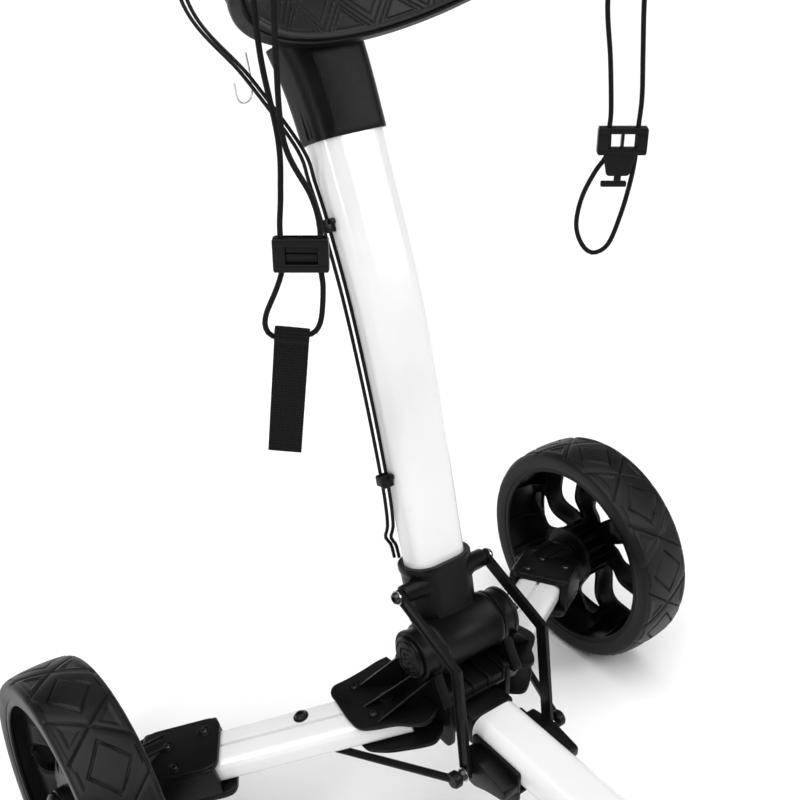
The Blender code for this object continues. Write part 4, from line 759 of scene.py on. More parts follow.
def make_side_bracket(side):
    place = arm_place(side)
    face = side_axis(side, *FOLD)
    bottom = ARM_H / 2 + GAP
    thick = 0.004
    piece = Piece("side_bracket_%s_shape" % side)
    plate = slab(rounded(UPPER_PLATE, 0.01, 5), bottom, bottom + thick, 0.0009, 3)
    plate.transform(place)
    piece.add(clear_of_knuckle(plate, side))
    rim = [(0.0, CHEEK_X + GAP), (0.0262, CHEEK_X + GAP), (0.0262, CHEEK_X + 0.003),
           (0.0246, CHEEK_X + 0.0042), (0.0238, CHEEK_X + 0.0048), (0.0238, BOSS_X - 0.0045),
           (0.0247, BOSS_X - 0.004), (0.0247, BOSS_X - 0.001), (0.0238, BOSS_X), (0.0, BOSS_X)]
    piece.add(lathe(rim, 72, False), face)
    # web that carries the boss down to the plate, against the knuckle's cheek
    web = rounded([(AXLE_Y - 0.1, 0.209), (AXLE_Y - 0.116, 0.262), (AXLE_Y - 0.15, 0.276),
                   (AXLE_Y - 0.17, 0.24), (AXLE_Y - 0.184, 0.22)], 0.006, 4)
    piece.add(slab(web, CHEEK_X + GAP, CHEEK_X + 0.01, 0.0012, 3), side_plane(side))
    # ribs from the boss to the plate
    top = bottom + thick - 0.0006
    sign = sign_of(side)
    for u, v, y in BRACKET_RIBS:
        foot = place @ Vector((u, v, top))
        near = place @ Vector((-0.012, v * 0.55, top))
        high = Vector((sign * (BOSS_X - 0.006), AXLE_Y + y, FOLD[1] - 0.004))
        base = Vector((sign * (CHEEK_X + 0.006), *high.yz))
        side_way = (foot - base).cross(Vector((0, 0, 1))).normalized() * 0.0011
        outline = [foot, high, base, near]
        rib = skin([[p + side_way for p in outline], [p - side_way for p in outline]])
        piece.add(clear_of_knuckle(rib, side))
    for u, v in BRACKET_SCREWS:
        piece.add(lathe([(0.0042, top), (0.0062, top), (0.0056, top + 0.0016), (0.0042, top + 0.0016)], 32),
                  place @ Matrix.Translation((u, v, 0)))
    piece.finish("chassis", BLACK, ("side_bracket_" + side,), 38.0)

    screws = Piece("side_bracket_screws_" + side)
    for u, v in BRACKET_SCREWS:
        socket_screw(screws, place @ Matrix.Translation((u, v, top + 0.0004)), 0.0038)
    screws.finish("chassis", BOLT_BLACK)

    low = Piece("lower_plate_%s_shape" % side)
    plate = slab(rounded(LOWER_PLATE, 0.008, 5), -bottom - thick, -bottom, 0.0009, 3)
    plate.transform(place)
    low.add(clear_of_knuckle(plate, side))
    low.finish("chassis", BLACK, ("lower_plate_" + side,), 38.0)

    cap = Piece("axle_cap_%s_shape" % side)
    x = BOSS_X
    cap.add(lathe([(0.0, x + 0.004), (0.0035, x + 0.004), (0.004, x + 0.0032), (0.005, x + 0.0032),
                   (0.0056, x + 0.0042), (0.0095, x + 0.0042), (0.0101, x + 0.0034), (0.011, x + 0.0034),
                   (0.0116, x + 0.0044), (0.0158, x + 0.004), (0.0164, x + 0.003), (0.0172, x + 0.003),
                   (0.0178, x + 0.0037), (0.0196, x + 0.003), (0.0203, x + 0.0018), (0.0203, x + GAP),
                   (0.0, x + GAP)], 80, False), face)
    cap.finish("chassis", SMOOTH_BLACK, ("axle_cap_" + side,), 28.0)


def make_link(side):
    """Dog-leg flat link, hollowed a little between raised edges, and its two bolts."""
    plane = side_plane(side)
    top, bend, foot = (Vector(p) for p in (CRANK, LINK_BEND, LINK_PIN))
    first, second = (bend - top).normalized(), (foot - bend).normalized()
    bends_left = (second - first).dot(Vector((-first.y, first.x))) > 0

    def eye(centre, along, start, radius):
        """Half circle round one end, from start degrees off the bar's direction."""
        base = math.atan2(along.y, along.x)
        return [centre + Vector((math.cos(base + math.radians(a)), math.sin(base + math.radians(a)))) * radius
                for a in range(start, start + 181, 12)]

    def outline(half):
        corner = (second - first).normalized() * (half / math.cos(first.angle(second) / 2))
        if not bends_left:
            corner = -corner
        points = eye(top, first, 90, half) + [bend - corner] + eye(foot, second, -90, half) + [bend + corner]
        return [tuple(p) for p in points]

    link = Piece("link_%s_shape" % side)
    half = LINK_W / 2
    wide, narrow = outline(half), outline(half - 0.0022)
    link.add(slab(wide, LINK_X, LINK_X + LINK_T - 0.0014, 0.0004, 1), plane)
    high, low_z = LINK_X + LINK_T, LINK_X + LINK_T - 0.0016
    rings = [[(x, y, low_z) for x, y in wide], [(x, y, high - 0.0003) for x, y in wide],
             [(x, y, high) for x, y in outline(half - 0.0004)],
             [(x, y, high) for x, y in outline(half - 0.0018)], [(x, y, low_z) for x, y in narrow]]
    link.add(skin(rings, caps=False), plane)
    link.finish("link_" + side, METAL_BLACK, ("link_" + side,), 30.0)
    for name, centre, body in (("link_bolt_", CRANK, "mast"), ("link_pin_", LINK_PIN, "link_" + side)):
        bolt = Piece(name + side + "_shape")
        spot = side_axis(side, *centre)
        outer = LINK_X + LINK_T + GAP
        socket_screw(bolt, spot @ Matrix.Translation((0, 0, outer + 0.0008)), 0.0056, 0.004)
        bolt.add(pipe(0.0, 0.0037, outer + 0.0005, outer - 0.014, 20), spot)
        bolt.finish(body, BOLT_BLACK, (name + side,))
        washer = Piece(name + "washer_" + side)
        washer.add(pipe(0.0037, 0.0068, outer, outer + 0.001, 36), spot)
        washer.finish(body, STEEL)


# ---------------------------------------------------------------- mast, sleeve and knuckle
MAST_FOOT = (-0.1135, 0.295)        # Y from the rear axle, and height
MAST_TOP_Z = 0.73
MAST_W = (0.056, 0.068)             # across at the foot and at the top
MAST_D = (0.036, 0.044)
LEANS = (math.radians(16.0), math.radians(25.0))    # below and above the bend
LEAN_Z = (0.46, 0.62)               # heights between which the mast bends
COLLAR_LOW, COLLAR_T = 0.6845, 0.0016


def mast_lean(z):
    t = min(max((z - LEAN_Z[0]) / (LEAN_Z[1] - LEAN_Z[0]), 0.0), 1.0)
    return LEANS[0] + (LEANS[1] - LEANS[0]) * t * t * (3 - 2 * t)


def mast_axis(z):
    """Y of the mast's axis at a height, from the rear axle."""
    steps = 60
    y, low = MAST_FOOT
    for i in range(steps):
        y += math.tan(mast_lean(low + (z - low) * (i + 0.5) / steps)) * (z - low) / steps
    return y


def mast_size(z, grow=0.0):
    t = (z - MAST_FOOT[1]) / (MAST_TOP_Z - MAST_FOOT[1])
    return (MAST_W[0] + (MAST_W[1] - MAST_W[0]) * t + 2 * grow,
            MAST_D[0] + (MAST_D[1] - MAST_D[0]) * t + 2 * grow)


def on_mast(z, points):
    """Points of the plane square to the mast's axis, placed at a height."""
    lean, y = mast_lean(z), AXLE_Y + mast_axis(z)
    return [(a, y + b * math.cos(lean), z - b * math.sin(lean)) for a, b in points]


def mast_ring(z, grow=0.0, steps=10):
    width, depth = mast_size(z, grow)
    return on_mast(z, rounded_box(width, depth, 0.4 * depth, steps))


def make_mast():
    tube_piece = Piece("mast_tube_shape")
    heights = np.linspace(MAST_FOOT[1], COLLAR_LOW + 0.006, 40)
    tube_piece.add(skin([mast_ring(z) for z in heights]))
    tube_piece.finish("mast", WHITE, ("mast_tube",), 60.0)

    sleeve = Piece("mast_sleeve_shape")
    rim = 0.326

    def flared(z, grow, pinch=0.0):
        width, depth = mast_size(max(z, 0.29), grow)
        ring = rounded_box(width, depth, 0.46 * depth, 12)
        return on_mast(z, [(a * (1 - pinch), b) for a, b in ring])

    rings = [flared(0.256, 0.0035, 0.02)]
    rings += [flared(z, grow) for z, grow in
              ((0.268, 0.004), (0.282, 0.0044), (0.3, 0.005), (0.316, 0.0052), (0.3185, 0.0056),
               (0.32, 0.0064), (rim - 0.0014, 0.0066), (rim, 0.0058), (rim, 0.0016),
               (rim - 0.002, 0.0006), (rim - 0.012, 0.0004))]
    sleeve.add(skin(rings, caps=False))
    sleeve.add(skin([flared(0.256, 0.003, 0.02), flared(0.3, 0.0)]))
    axis = along_x(0, *FOLD)
    end = CHEEK_X - 0.001
    barrel = [(0.0, -end), (0.0262, -end), (0.027, -end + 0.001), (0.027, -end + 0.005),
              (0.0262, -end + 0.0062), (0.0252, -end + 0.008), (0.025, 0.0)]
    barrel += [(r, -x) for r, x in barrel[:-1][::-1]]
    sleeve.add(lathe(barrel, 80, False), axis)
    # soft fillet where the oval runs into the barrel, front and back
    for way in (-1, 1):
        fillet = []
        for k in range(9):
            t = k / 8
            z = 0.262 + 0.026 * t
            width, depth = mast_size(0.29, 0.0045)
            grow = 0.0085 * (1 - t) ** 2
            fillet.append(on_mast(z, [(a, way * (b + grow)) for a, b in
                                      ((-0.026 + 0.002 * t, 0.006), (-0.02, depth / 2 - 0.0016),
                                       (0.0, depth / 2 - 0.0002), (0.02, depth / 2 - 0.0016),
                                       (0.026 - 0.002 * t, 0.006))]))
        sleeve.add(skin(fillet))
    lug = along_x(0, *CRANK)
    reach = LINK_X - 0.001
    sleeve.add(lathe([(0.0, -reach), (0.0078, -reach), (0.0085, -reach + 0.0008), (0.009, -0.031),
                      (0.012, -0.024), (0.012, 0.024), (0.009, 0.031), (0.0085, reach - 0.0008),
                      (0.0078, reach), (0.0, reach)], 40, False), lug)
    sleeve.finish("mast", BLACK, ("mast_sleeve",), 40.0)


def make_knuckle():
    """Housing under the fold axle: two cheeks, a back wall and ribs between them."""
    piece = Piece("knuckle_shape")
    low, high = (Vector(v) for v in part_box("knuckle"))
    inner = CHEEK_X - 0.007
    slot_back = FRONT_PIVOT[0] + 0.0225
    roof = 0.212                    # clear of the front arm under it
    cheek = rounded([(low.y, low.z), (high.y, low.z), (high.y, high.z), (low.y, high.z)], 0.007, 5)
    for side in SIDES:
        piece.add(slab(cheek, inner, CHEEK_X, 0.0012, 3), side_plane(side))
    piece.add(brick((-inner - 0.001, slot_back, low.z + 0.001),
                    (inner + 0.001, high.y - 0.0005, high.z - 0.0005), 0.0015, 2))
    piece.add(brick((-inner - 0.001, low.y + 0.0012, roof),
                    (inner + 0.001, high.y - 0.001, high.z - 0.0042), 0.0012, 2))
    for x in (-0.027, -0.009, 0.009, 0.027):
        piece.add(brick((x - 0.0012, low.y + 0.0004, roof + 0.001),
                        (x + 0.0012, high.y - 0.001, high.z - 0.0006), 0.0005, 2))
    piece.add(brick((-inner, low.y + 0.0002, roof - 0.0002), (inner, low.y + 0.004, roof + 0.004),
                    0.0008, 2))
    for side in SIDES:
        piece.add(pipe(0.0064, 0.0105, CHEEK_X - 0.002, CHEEK_X + 0.0001, 40), side_axis(side, *FRONT_PIVOT))
    piece.finish("chassis", BLACK, ("knuckle",), 38.0)


# ---------------------------------------------------------------- collar, cradle and pad
def collar_ring(z, grow, flare=0.0):
    """Section of the collar: flat front panel, shallow groove and a round ridge at the cart's right."""
    width, depth = mast_size(min(z, MAST_TOP_Z), grow)
    ring = rounded_box(width, depth, 0.3 * depth, 14)
    made = []
    for a, b in ring:
        side = a / (width / 2)
        if b < 0:
            front = min(1.0, -b / (depth / 2))
            deep = min(max((z - COLLAR_LOW - 0.001) / 0.012, 0.0), 1.0)
            ridge = 0.0026 * math.exp(-((side + 0.52) / 0.17) ** 2)
            dip = 0.0024 * math.exp(-((side + 0.2) / 0.1) ** 2)
            b -= (ridge - dip) * deep * front ** 2
        a -= flare * (0.01 if side < 0 else 0.002) * abs(side)
        made.append((a, b))
    return on_mast(z, made)


def cradle_place(drop=0.0):
    y = CRADLE_Y - drop * math.sin(CRADLE_LEAN)
    z = CRADLE_Z - drop * math.cos(CRADLE_LEAN)
    return placed((0, y, z), (1, 0, 0), (0, math.cos(CRADLE_LEAN), -math.sin(CRADLE_LEAN)))


def make_collar():
    piece = Piece("upper_collar_shape")
    wall = COLLAR_T
    levels = [(COLLAR_LOW, 0.0002, 0), (COLLAR_LOW, wall - 0.0005, 0), (COLLAR_LOW + 0.0005, wall, 0),
              (COLLAR_LOW + 0.004, wall, 0), (COLLAR_LOW + 0.008, wall, 0), (COLLAR_LOW + 0.012, wall, 0.02),
              (0.705, wall, 0.05), (0.72, wall, 0.15), (0.735, wall, 0.35), (0.748, wall, 0.7),
              (0.758, wall - 0.0006, 1.0), (0.7588, wall - 0.002, 1.0)]
    piece.add(skin([collar_ring(z, grow, flare) for z, grow, flare in levels]))
    place = cradle_place()
    back = PAD_T + SHELL_T + 2 * GAP
    piece.add(brick((-0.03, back, 0.004), (0.03, back + 0.034, 0.05), 0.004, 4), place)
    # two thin ribs down the right-hand side
    for shift in (0.004, 0.011):
        path = []
        for z in np.linspace(COLLAR_LOW + 0.003, 0.75, 12):
            width, depth = mast_size(min(z, MAST_TOP_Z), wall)
            path.append(Vector(on_mast(z, [(-width / 2 + 0.0008 - 0.0008 * shift / 0.011,
                                            -depth / 2 + 0.012 + shift)])[0]))
        piece.add(tube(path, 0.0011, 8))
    piece.finish("mast", BLACK, ("upper_collar",), 42.0)


def strip_depth(along, up, height):
    """Depth of the lines engraved in the pad: crossings, diamonds and triangles."""
    period = 0.048
    a = np.abs((along / period + 0.5) % 1.0 - 0.5) * period
    b = np.abs(up - height / 2)
    rise = height / 2
    off = (a * rise - b * period / 2) / math.hypot(rise, period / 2)
    depth = groove(np.abs(np.abs(off) - 0.0022), 0.0009, 0.0013)
    mid = period / 2 - a
    slope = 1.0 / math.hypot(1 / 0.015, 1 / 0.018)
    diamond = (mid / 0.015 + b / 0.018 - 1.0) * slope
    depth = np.maximum(depth, groove(np.abs(diamond + 0.0005), 0.001, 0.0013))
    corner = np.minimum(-off - 0.0055, height / 2 - 0.004 - b)
    depth = np.maximum(depth, groove(np.abs(corner), 0.0009, 0.0013) * (corner > -0.001))
    return depth * np.clip((height / 2 - 0.0015 - b) / 0.001, 0, 1)


def make_cradle():
    place = cradle_place()
    pad_half = math.radians(46.0)
    height = 0.057
    columns, rows = 520, 100
    angles = np.linspace(-pad_half, pad_half, columns)
    ups = np.linspace(0.0, height, rows)
    aa, uu = np.meshgrid(angles, ups, indexing="ij")
    cut = strip_depth(aa * CRADLE_R, uu, height)
    edge = np.minimum(np.minimum(uu, height - uu), (pad_half - np.abs(aa)) * CRADLE_R)
    cut += 0.0022 * (1 - np.clip(edge / 0.0025, 0, 1)) ** 2
    r = CRADLE_R + cut
    verts = np.stack([r * np.sin(aa), -CRADLE_R + r * np.cos(aa), uu], axis=-1).reshape(-1, 3)
    back = np.stack([(CRADLE_R + PAD_T) * np.sin(aa), -CRADLE_R + (CRADLE_R + PAD_T) * np.cos(aa), uu],
                    axis=-1).reshape(-1, 3)
    faces = []
    total = columns * rows
    for i in range(columns - 1):
        for j in range(rows - 1):
            k = i * rows + j
            faces.append((k, k + 1, k + rows + 1, k + rows))
    ring = [i * rows for i in range(columns)] + [(columns - 1) * rows + j for j in range(1, rows)]
    ring += [i * rows + rows - 1 for i in range(columns - 2, -1, -1)] + [j for j in range(rows - 2, 0, -1)]
    for a, b in zip(ring, ring[1:] + ring[:1]):
        faces.append((a, b, b + total, a + total))
    mesh = bpy.data.meshes.new("cradle_pad_pattern")
    mesh.from_pydata([tuple(v) for v in np.vstack([verts, back])], [], faces)
    mesh.transform(place)
    bm = bmesh.new()
    bm.from_mesh(mesh)
    loose = [v for v in bm.verts if not v.link_faces]
    bmesh.ops.delete(bm, geom=loose, context="VERTS")
    bmesh.ops.recalc_face_normals(bm, faces=bm.faces[:])
    bm.to_mesh(mesh)
    bm.free()
    dressed(bpy.data.objects.new("cradle_pad_pattern", mesh), "mast", PAD, ("cradle_pad",),
            45.0)

    shell = Piece("upper_cradle_shape")
    shell_in = CRADLE_R + PAD_T + GAP
    rings = []
    reach = math.radians(120.0)
    for turn in np.linspace(-reach, reach, 121):
        t = abs(turn) / reach
        low = -0.003 + 0.01 * max(0.0, t - 0.55) / 0.45
        high = 0.062 - 0.012 * max(0.0, t - 0.5) / 0.5
        section = [(shell_in, low + 0.001), (shell_in + 0.001, low), (shell_in + 0.008, low),
                   (shell_in + 0.009, low + 0.001), (shell_in + 0.009, low + 0.0045),
                   (shell_in + 0.0065, low + 0.0065), (shell_in + 0.0065, high - 0.0065),
                   (shell_in + 0.009, high - 0.0045), (shell_in + 0.009, high - 0.001),
                   (shell_in + 0.008, high), (shell_in + 0.001, high), (shell_in, high - 0.001),
                   (shell_in, high - 0.003)]
        rings.append([(radius * math.sin(turn), -CRADLE_R + radius * math.cos(turn), z)
                      for radius, z in section])
    shell.add(skin(rings), place)
    for k in range(-9, 10):
        turn = Matrix.Translation((0, -CRADLE_R, 0)) @ turned(math.radians(12.0 * k + 6.0))
        rib = brick((-0.001, shell_in + 0.006, 0.001), (0.001, shell_in + 0.0088, 0.052), 0.0004, 1)
        shell.add(rib, place @ turn)
    for side in SIDES:
        peg_end = hang_top(side)
        across = mirror(along_x(abs(peg_end.x), peg_end.y, peg_end.z), side)
        shell.add(lathe([(0.0, -0.026), (0.0045, -0.026), (0.004, -0.006), (0.004, 0.003), (0.0056, 0.0036),
                         (0.0056, 0.0049), (0.0, 0.0049)], 28, False), across)
    shell.finish("mast", BLACK, ("upper_cradle",), 38.0)


# ---------------------------------------------------------------- bungee cords
HANG_TURN = math.radians(37.0)
HANG_DIR = Vector((math.cos(HANG_TURN), -math.sin(HANG_TURN), 0))
HANG_OUT = Vector((-math.sin(HANG_TURN), -math.cos(HANG_TURN), 0))
CORD_D = 0.004
RIGHT_BUNGEE = [(-0.004, 0.91, 0.0), (-0.006, 0.885, 0.0), (-0.0075, 0.86, 0.0),
                (-0.005, 0.805, -0.003), (0.0036, 0.75, -0.003), (0.0036, 0.715, -0.001),
                (0.002, 0.692, 0.0), (0.002, 0.675, 0.0), (0.0018, 0.658, 0.0), (-0.003, 0.643, 0.0),
                (-0.011, 0.624, 0.0), (-0.0118, 0.613, 0.0), (-0.0065, 0.6066, 0.0),
                (0.0066, 0.6075, 0.0), (0.019, 0.608, 0.0), (0.0252, 0.613, 0.0),
                (0.0285, 0.624, 0.0), (0.03, 0.645, 0.0), (0.029, 0.658, 0.0), (0.029, 0.675, 0.0),
                (0.029, 0.692, 0.0), (0.024, 0.713, 0.001), (0.008, 0.75, 0.003),
                (0.0055, 0.805, 0.003), (0.006, 0.86, 0.0), (0.005, 0.885, 0.0), (0.004, 0.91, 0.0)]
LEFT_BUNGEE = [(-0.002, 0.91, 0.0), (-0.003, 0.885, 0.0), (-0.008, 0.845, 0.0),
               (-0.01, 0.8, 0.0), (-0.004, 0.755, 0.0), (0.0, 0.715, 0.0), (0.0, 0.7, 0.0),
               (0.0, 0.678, 0.0), (-0.009, 0.662, 0.0), (-0.018, 0.64, 0.0), (-0.021, 0.616, 0.0),
               (-0.015, 0.598, 0.0), (-0.0047, 0.59, 0.0), (0.0075, 0.598, 0.0), (0.016, 0.6254, 0.0),
               (0.0215, 0.655, 0.0), (0.0235, 0.678, 0.0), (0.0235, 0.7, 0.0), (0.024, 0.725, 0.0),
               (0.0213, 0.76, 0.0), (0.0182, 0.801, 0.0), (0.0175, 0.845, 0.0), (0.012, 0.885, 0.0),
               (0.006, 0.91, 0.0)]


def hang_top(side):
    """Middle of the peg at a wing's tip, that a bungee hangs from."""
    turn = math.radians(116.0)
    radius = CRADLE_R + PAD_T + SHELL_T / 2
    local = Vector((radius * math.sin(turn), -CRADLE_R + radius * math.cos(turn), 0.031))
    x, y, z = cradle_place() @ local
    return Vector((sign_of(side) * (x + 0.024), y, z))


def hang(side, across, height, out=0.0):
    point = hang_top(side) + HANG_DIR * across + HANG_OUT * out
    point.z = height
    return point


def smooth_path(points, step):
    """Points a fixed step apart on a smooth curve through the given points."""
    pts = [Vector(p) for p in points]
    pts = [2 * pts[0] - pts[1]] + pts + [2 * pts[-1] - pts[-2]]
    dense = []
    for i in range(1, len(pts) - 2):
        a, b, c, d = pts[i - 1:i + 3]
        for k in range(40):
            t = k / 40
            dense.append(0.5 * (2 * b + (c - a) * t + (2 * a - 5 * b + 4 * c - d) * t * t
                                + (3 * b - a - 3 * c + d) * t ** 3))
    dense.append(pts[-2])
    lengths = np.cumsum([0] + [(b - a).length for a, b in zip(dense, dense[1:])])
    count = max(2, int(round(lengths[-1] / step)) + 1)
    made = []
    for s in np.linspace(0, lengths[-1], count):
        k = min(int(np.searchsorted(lengths, s, side="right")) - 1, len(dense) - 2)
        t = (s - lengths[k]) / max(lengths[k + 1] - lengths[k], 1e-9)
        made.append(dense[k].lerp(dense[k + 1], float(t)))
    return made


def round_curve(name, points, radius):
    """Curve object of one open spline with a round section."""
    curve = bpy.data.curves.new(name, "CURVE")
    curve.dimensions = "3D"
    curve.bevel_depth = radius
    curve.bevel_resolution = 5
    curve.use_fill_caps = True
    spline = curve.splines.new("POLY")
    spline.points.add(len(points) - 1)
    for point, co in zip(spline.points, points):
        point.co = (*co, 1)
    return bpy.data.objects.new(name, curve)


def hang_frame(side, across, height):
    """Local X along the plane that a bungee hangs in, local Y up, local Z out of it."""
    return placed(hang(side, across, height), HANG_DIR, (0, 0, 1))


def make_slider():
    piece = Piece("slider_buckle_shape")
    place = hang_frame("right", 0.0155, 0.67)
    outline = rounded([(-0.0195, -0.0125), (0.0195, -0.0125), (0.0195, 0.0125), (-0.0195, 0.0125)], 0.003, 4)
    piece.add(slab(outline, -0.0045, 0.0012, 0.0012, 3), place)
    piece.bricks(place, 0.0014, 4, *(((-0.0192, low, -0.004), (0.0192, high, 0.0045))
                                     for low, high in ((-0.0125, -0.0062), (0.0062, 0.0125))))
    piece.bricks(place, 0.0014, 4, *(((low, -0.012, -0.004), (high, 0.012, 0.0043))
                                     for low, high in ((-0.0195, -0.0105), (0.0115, 0.0195))))
    piece.add(brick((-0.0105, -0.003, 0.0), (0.0115, 0.001, 0.003), 0.0008, 3), place)
    piece.finish("mast", SMOOTH_BLACK, ("slider_buckle",), 40.0)
    return piece.name


def make_hook_buckle():
    piece = Piece("hook_buckle_shape")
    place = hang_frame("left", 0.0115, 0.689)
    piece.bricks(place, 0.0013, 4, *(((-0.02, low, -0.0045), (0.02, high, 0.0045))
                                     for low, high in ((-0.0115, -0.006), (0.0062, 0.0115))))
    piece.bricks(place, 0.0012, 3, *(((low, -0.0105, -0.0038), (high, 0.0105, 0.0038))
                                     for low, high in
                                     ((-0.0205, -0.011), (-0.0012, 0.0012), (0.011, 0.0205))))
    tongue = rounded([(-0.0155, -0.01), (0.012, -0.01), (0.0075, -0.029), (-0.0115, -0.029)], 0.003, 4)
    piece.add(slab(tongue, 0.0026, 0.0046, 0.0007, 3), place)
    piece.add(brick((-0.005, -0.035, 0.0028), (0.001, -0.027, 0.0044), 0.0005, 2), place)
    piece.add(brick((-0.0155, -0.0385, 0.0008), (0.006, -0.0335, 0.0048), 0.0013, 3), place)
    piece.finish("mast", SMOOTH_BLACK, ("hook_buckle",), 40.0)
    return piece.name


def make_tab():
    """Folded nylon webbing: two layers sewn together under an open loop for the cord."""
    axis = hang("right", 0.0066, 0.6075)
    tilt = -0.1
    place = placed(axis, HANG_DIR + Vector((0, 0, tilt)), (-tilt * HANG_DIR.x, -tilt * HANG_DIR.y, 1))
    half_w, thick, loop_r, foot = 0.0125, 0.0014, 0.005, -0.098

    def layer(middle, shares):
        return [(middle + 0.0005 * math.sin(s * 2.2), foot + (foot + 0.006) * -s) for s in shares]

    path = [(0.0005, foot)] + layer(0.0005, np.linspace(0.02, 1, 24))
    path += [(loop_r * math.cos(a), 0.0004 + loop_r * math.sin(a))
             for a in np.radians(np.linspace(-52, 232, 22))]
    path += layer(-0.0012, np.linspace(1, 0.02, 24)) + [(-0.0012, foot)]
    points = np.array(path)
    ahead = np.gradient(points, axis=0)
    ahead /= np.linalg.norm(ahead, axis=1)[:, None]
    normal = np.stack([ahead[:, 1], -ahead[:, 0]], axis=1)
    lengths = np.concatenate([[0], np.cumsum(np.linalg.norm(np.diff(points, axis=0), axis=1))])
    bm = bmesh.new()
    uv_layer = bm.loops.layers.uv.new("UVMap")
    across = np.linspace(-half_w, half_w, 13)
    grids = []
    for offset in (thick / 2, -thick / 2):
        rows = []
        for (z, y), (nz, ny) in zip(points, normal):
            rows.append([bm.verts.new((x, y + ny * offset * (1 - 0.35 * (abs(x) / half_w) ** 8),
                                       z + nz * offset * (1 - 0.35 * (abs(x) / half_w) ** 8)))
                         for x in across])
        grids.append(rows)
    outer, inner = grids
    last = len(points) - 1
    for i in range(last):
        for j in range(12):
            for rows, order in ((outer, 1), (inner, -1)):
                quad = [rows[i][j], rows[i][j + 1], rows[i + 1][j + 1], rows[i + 1][j]][::order]
                face = bm.faces.new(quad)
                where = {rows[i][j]: (j, i), rows[i][j + 1]: (j + 1, i), rows[i + 1][j + 1]: (j + 1, i + 1),
                         rows[i + 1][j]: (j, i + 1)}
                for loop in face.loops:
                    a, b = where[loop.vert]
                    loop[uv_layer].uv = (across[a], lengths[b])
        for j in (0, 12):
            bm.faces.new((outer[i][j], outer[i + 1][j], inner[i + 1][j], inner[i][j]))
    for i in (0, last):
        for j in range(12):
            bm.faces.new((outer[i][j], outer[i][j + 1], inner[i][j + 1], inner[i][j]))
    bmesh.ops.recalc_face_normals(bm, faces=bm.faces[:])
    piece = Piece("webbing_tab_shape")
    piece.add(bm, place)
    piece.finish("mast", WEBBING, ("webbing_tab",), 60.0)
    stitch = Piece("webbing_stitches")
    for row in (-0.01, -0.013, -0.09, -0.093):
        for x in np.arange(-0.0105, 0.0106, 0.003):
            stitch.add(tube([(x - 0.0011, row, 0.00118), (x - 0.0008, row, 0.0015), (x + 0.0008, row, 0.0015),
                             (x + 0.0011, row, 0.00118)], 0.00022, 6), place)
    stitch.finish("mast", JACKET)


def make_bungees():
    made = {}
    for side, route in (("right", RIGHT_BUNGEE), ("left", LEFT_BUNGEE)):
        points = smooth_path([hang(side, *p) for p in route], 0.004)
        cord = round_curve("bungee_%s_shape" % side, points, CORD_D / 2)
        dressed(cord, "mast", BRAID, ("bungee_cord_" + side,))
        made[side] = (cord, points)
    for side, buckle in (("right", make_slider()), ("left", make_hook_buckle())):
        cord, points = made[side]
    make_tab()


# ---------------------------------------------------------------- brake cables, clips and hook
CLIP_HIGH_Z, CLIP_LOW_Z = 0.622, 0.408
CABLE_R = 0.0016


def mast_edge(z):
    return max(p[0] for p in mast_ring(z))


def cable_route(side):
    away = Vector((-0.0046, 0.0022, 0.001)) * (0.0 if side == "right" else 1.0)
    route = [(-0.0275, 0.212, 0.97), (-0.045, 0.2, 0.945), (-0.07, 0.172, 0.87),
             (-0.082, 0.125, 0.786), (-0.068, 0.056, 0.738), (-0.048, 0.015, 0.687),
             (-0.0375, mast_axis(0.655) + 0.003, 0.655)]
    for z, behind in ((CLIP_HIGH_Z, 0.0), (0.56, 0.0), (0.48, 0.0), (CLIP_LOW_Z, 0.0), (0.378, 0.004),
                      (0.356, 0.012)):
        route.append((-(mast_edge(z) + CABLE_R + 0.0016) + behind * 0.3, mast_axis(z) + 0.003 + behind, z))
    foot = Vector((-0.02, mast_axis(0.328) + 0.03, 0.328)) + away * 0.9
    points = [Vector(p) + away for p in route]
    points += [Vector((-0.027, mast_axis(0.341) + 0.0245, 0.341)) + away, foot,
               foot + Vector((0.004, 0.0005, -0.016))]
    return [p + Vector((0, AXLE_Y, 0)) for p in points]


def make_cables():
    for side in SIDES:
        cable = round_curve("brake_cable_%s_shape" % side, smooth_path(cable_route(side), 0.006), CABLE_R)
        dressed(cable, "mast", JACKET, ("brake_cable_" + side,))
    for name, z in (("cable_clip_upper", CLIP_HIGH_Z), ("cable_clip_lower", CLIP_LOW_Z)):
        lean = mast_lean(z)
        origin = (-(mast_edge(z) + 0.0006), AXLE_Y + mast_axis(z) + 0.003, z)
        place = placed(origin, (-1, 0, 0), (0, -math.cos(lean), math.sin(lean)))
        clip = Piece(name + "_shape")
        clip.add(brick((0.0, 0.003, -0.0058), (0.0112, 0.006, 0.0058), 0.0008, 3), place)
        clip.add(brick((0.0, -0.0052, -0.005), (0.0106, -0.003, 0.005), 0.0007, 3), place)
        clip.add(brick((0.0002, -0.005, -0.005), (0.0014, 0.005, 0.005), 0.0004, 2), place)
        clip.add(brick((0.0098, -0.0048, -0.0044), (0.0114, 0.005, 0.0044), 0.0006, 3), place)
        clip.add(brick((0.0, 0.0046, 0.001), (0.0052, 0.0086, 0.0054), 0.0008, 3), place)
        clip.finish("mast", SMOOTH_BLACK, (name,), 40.0)


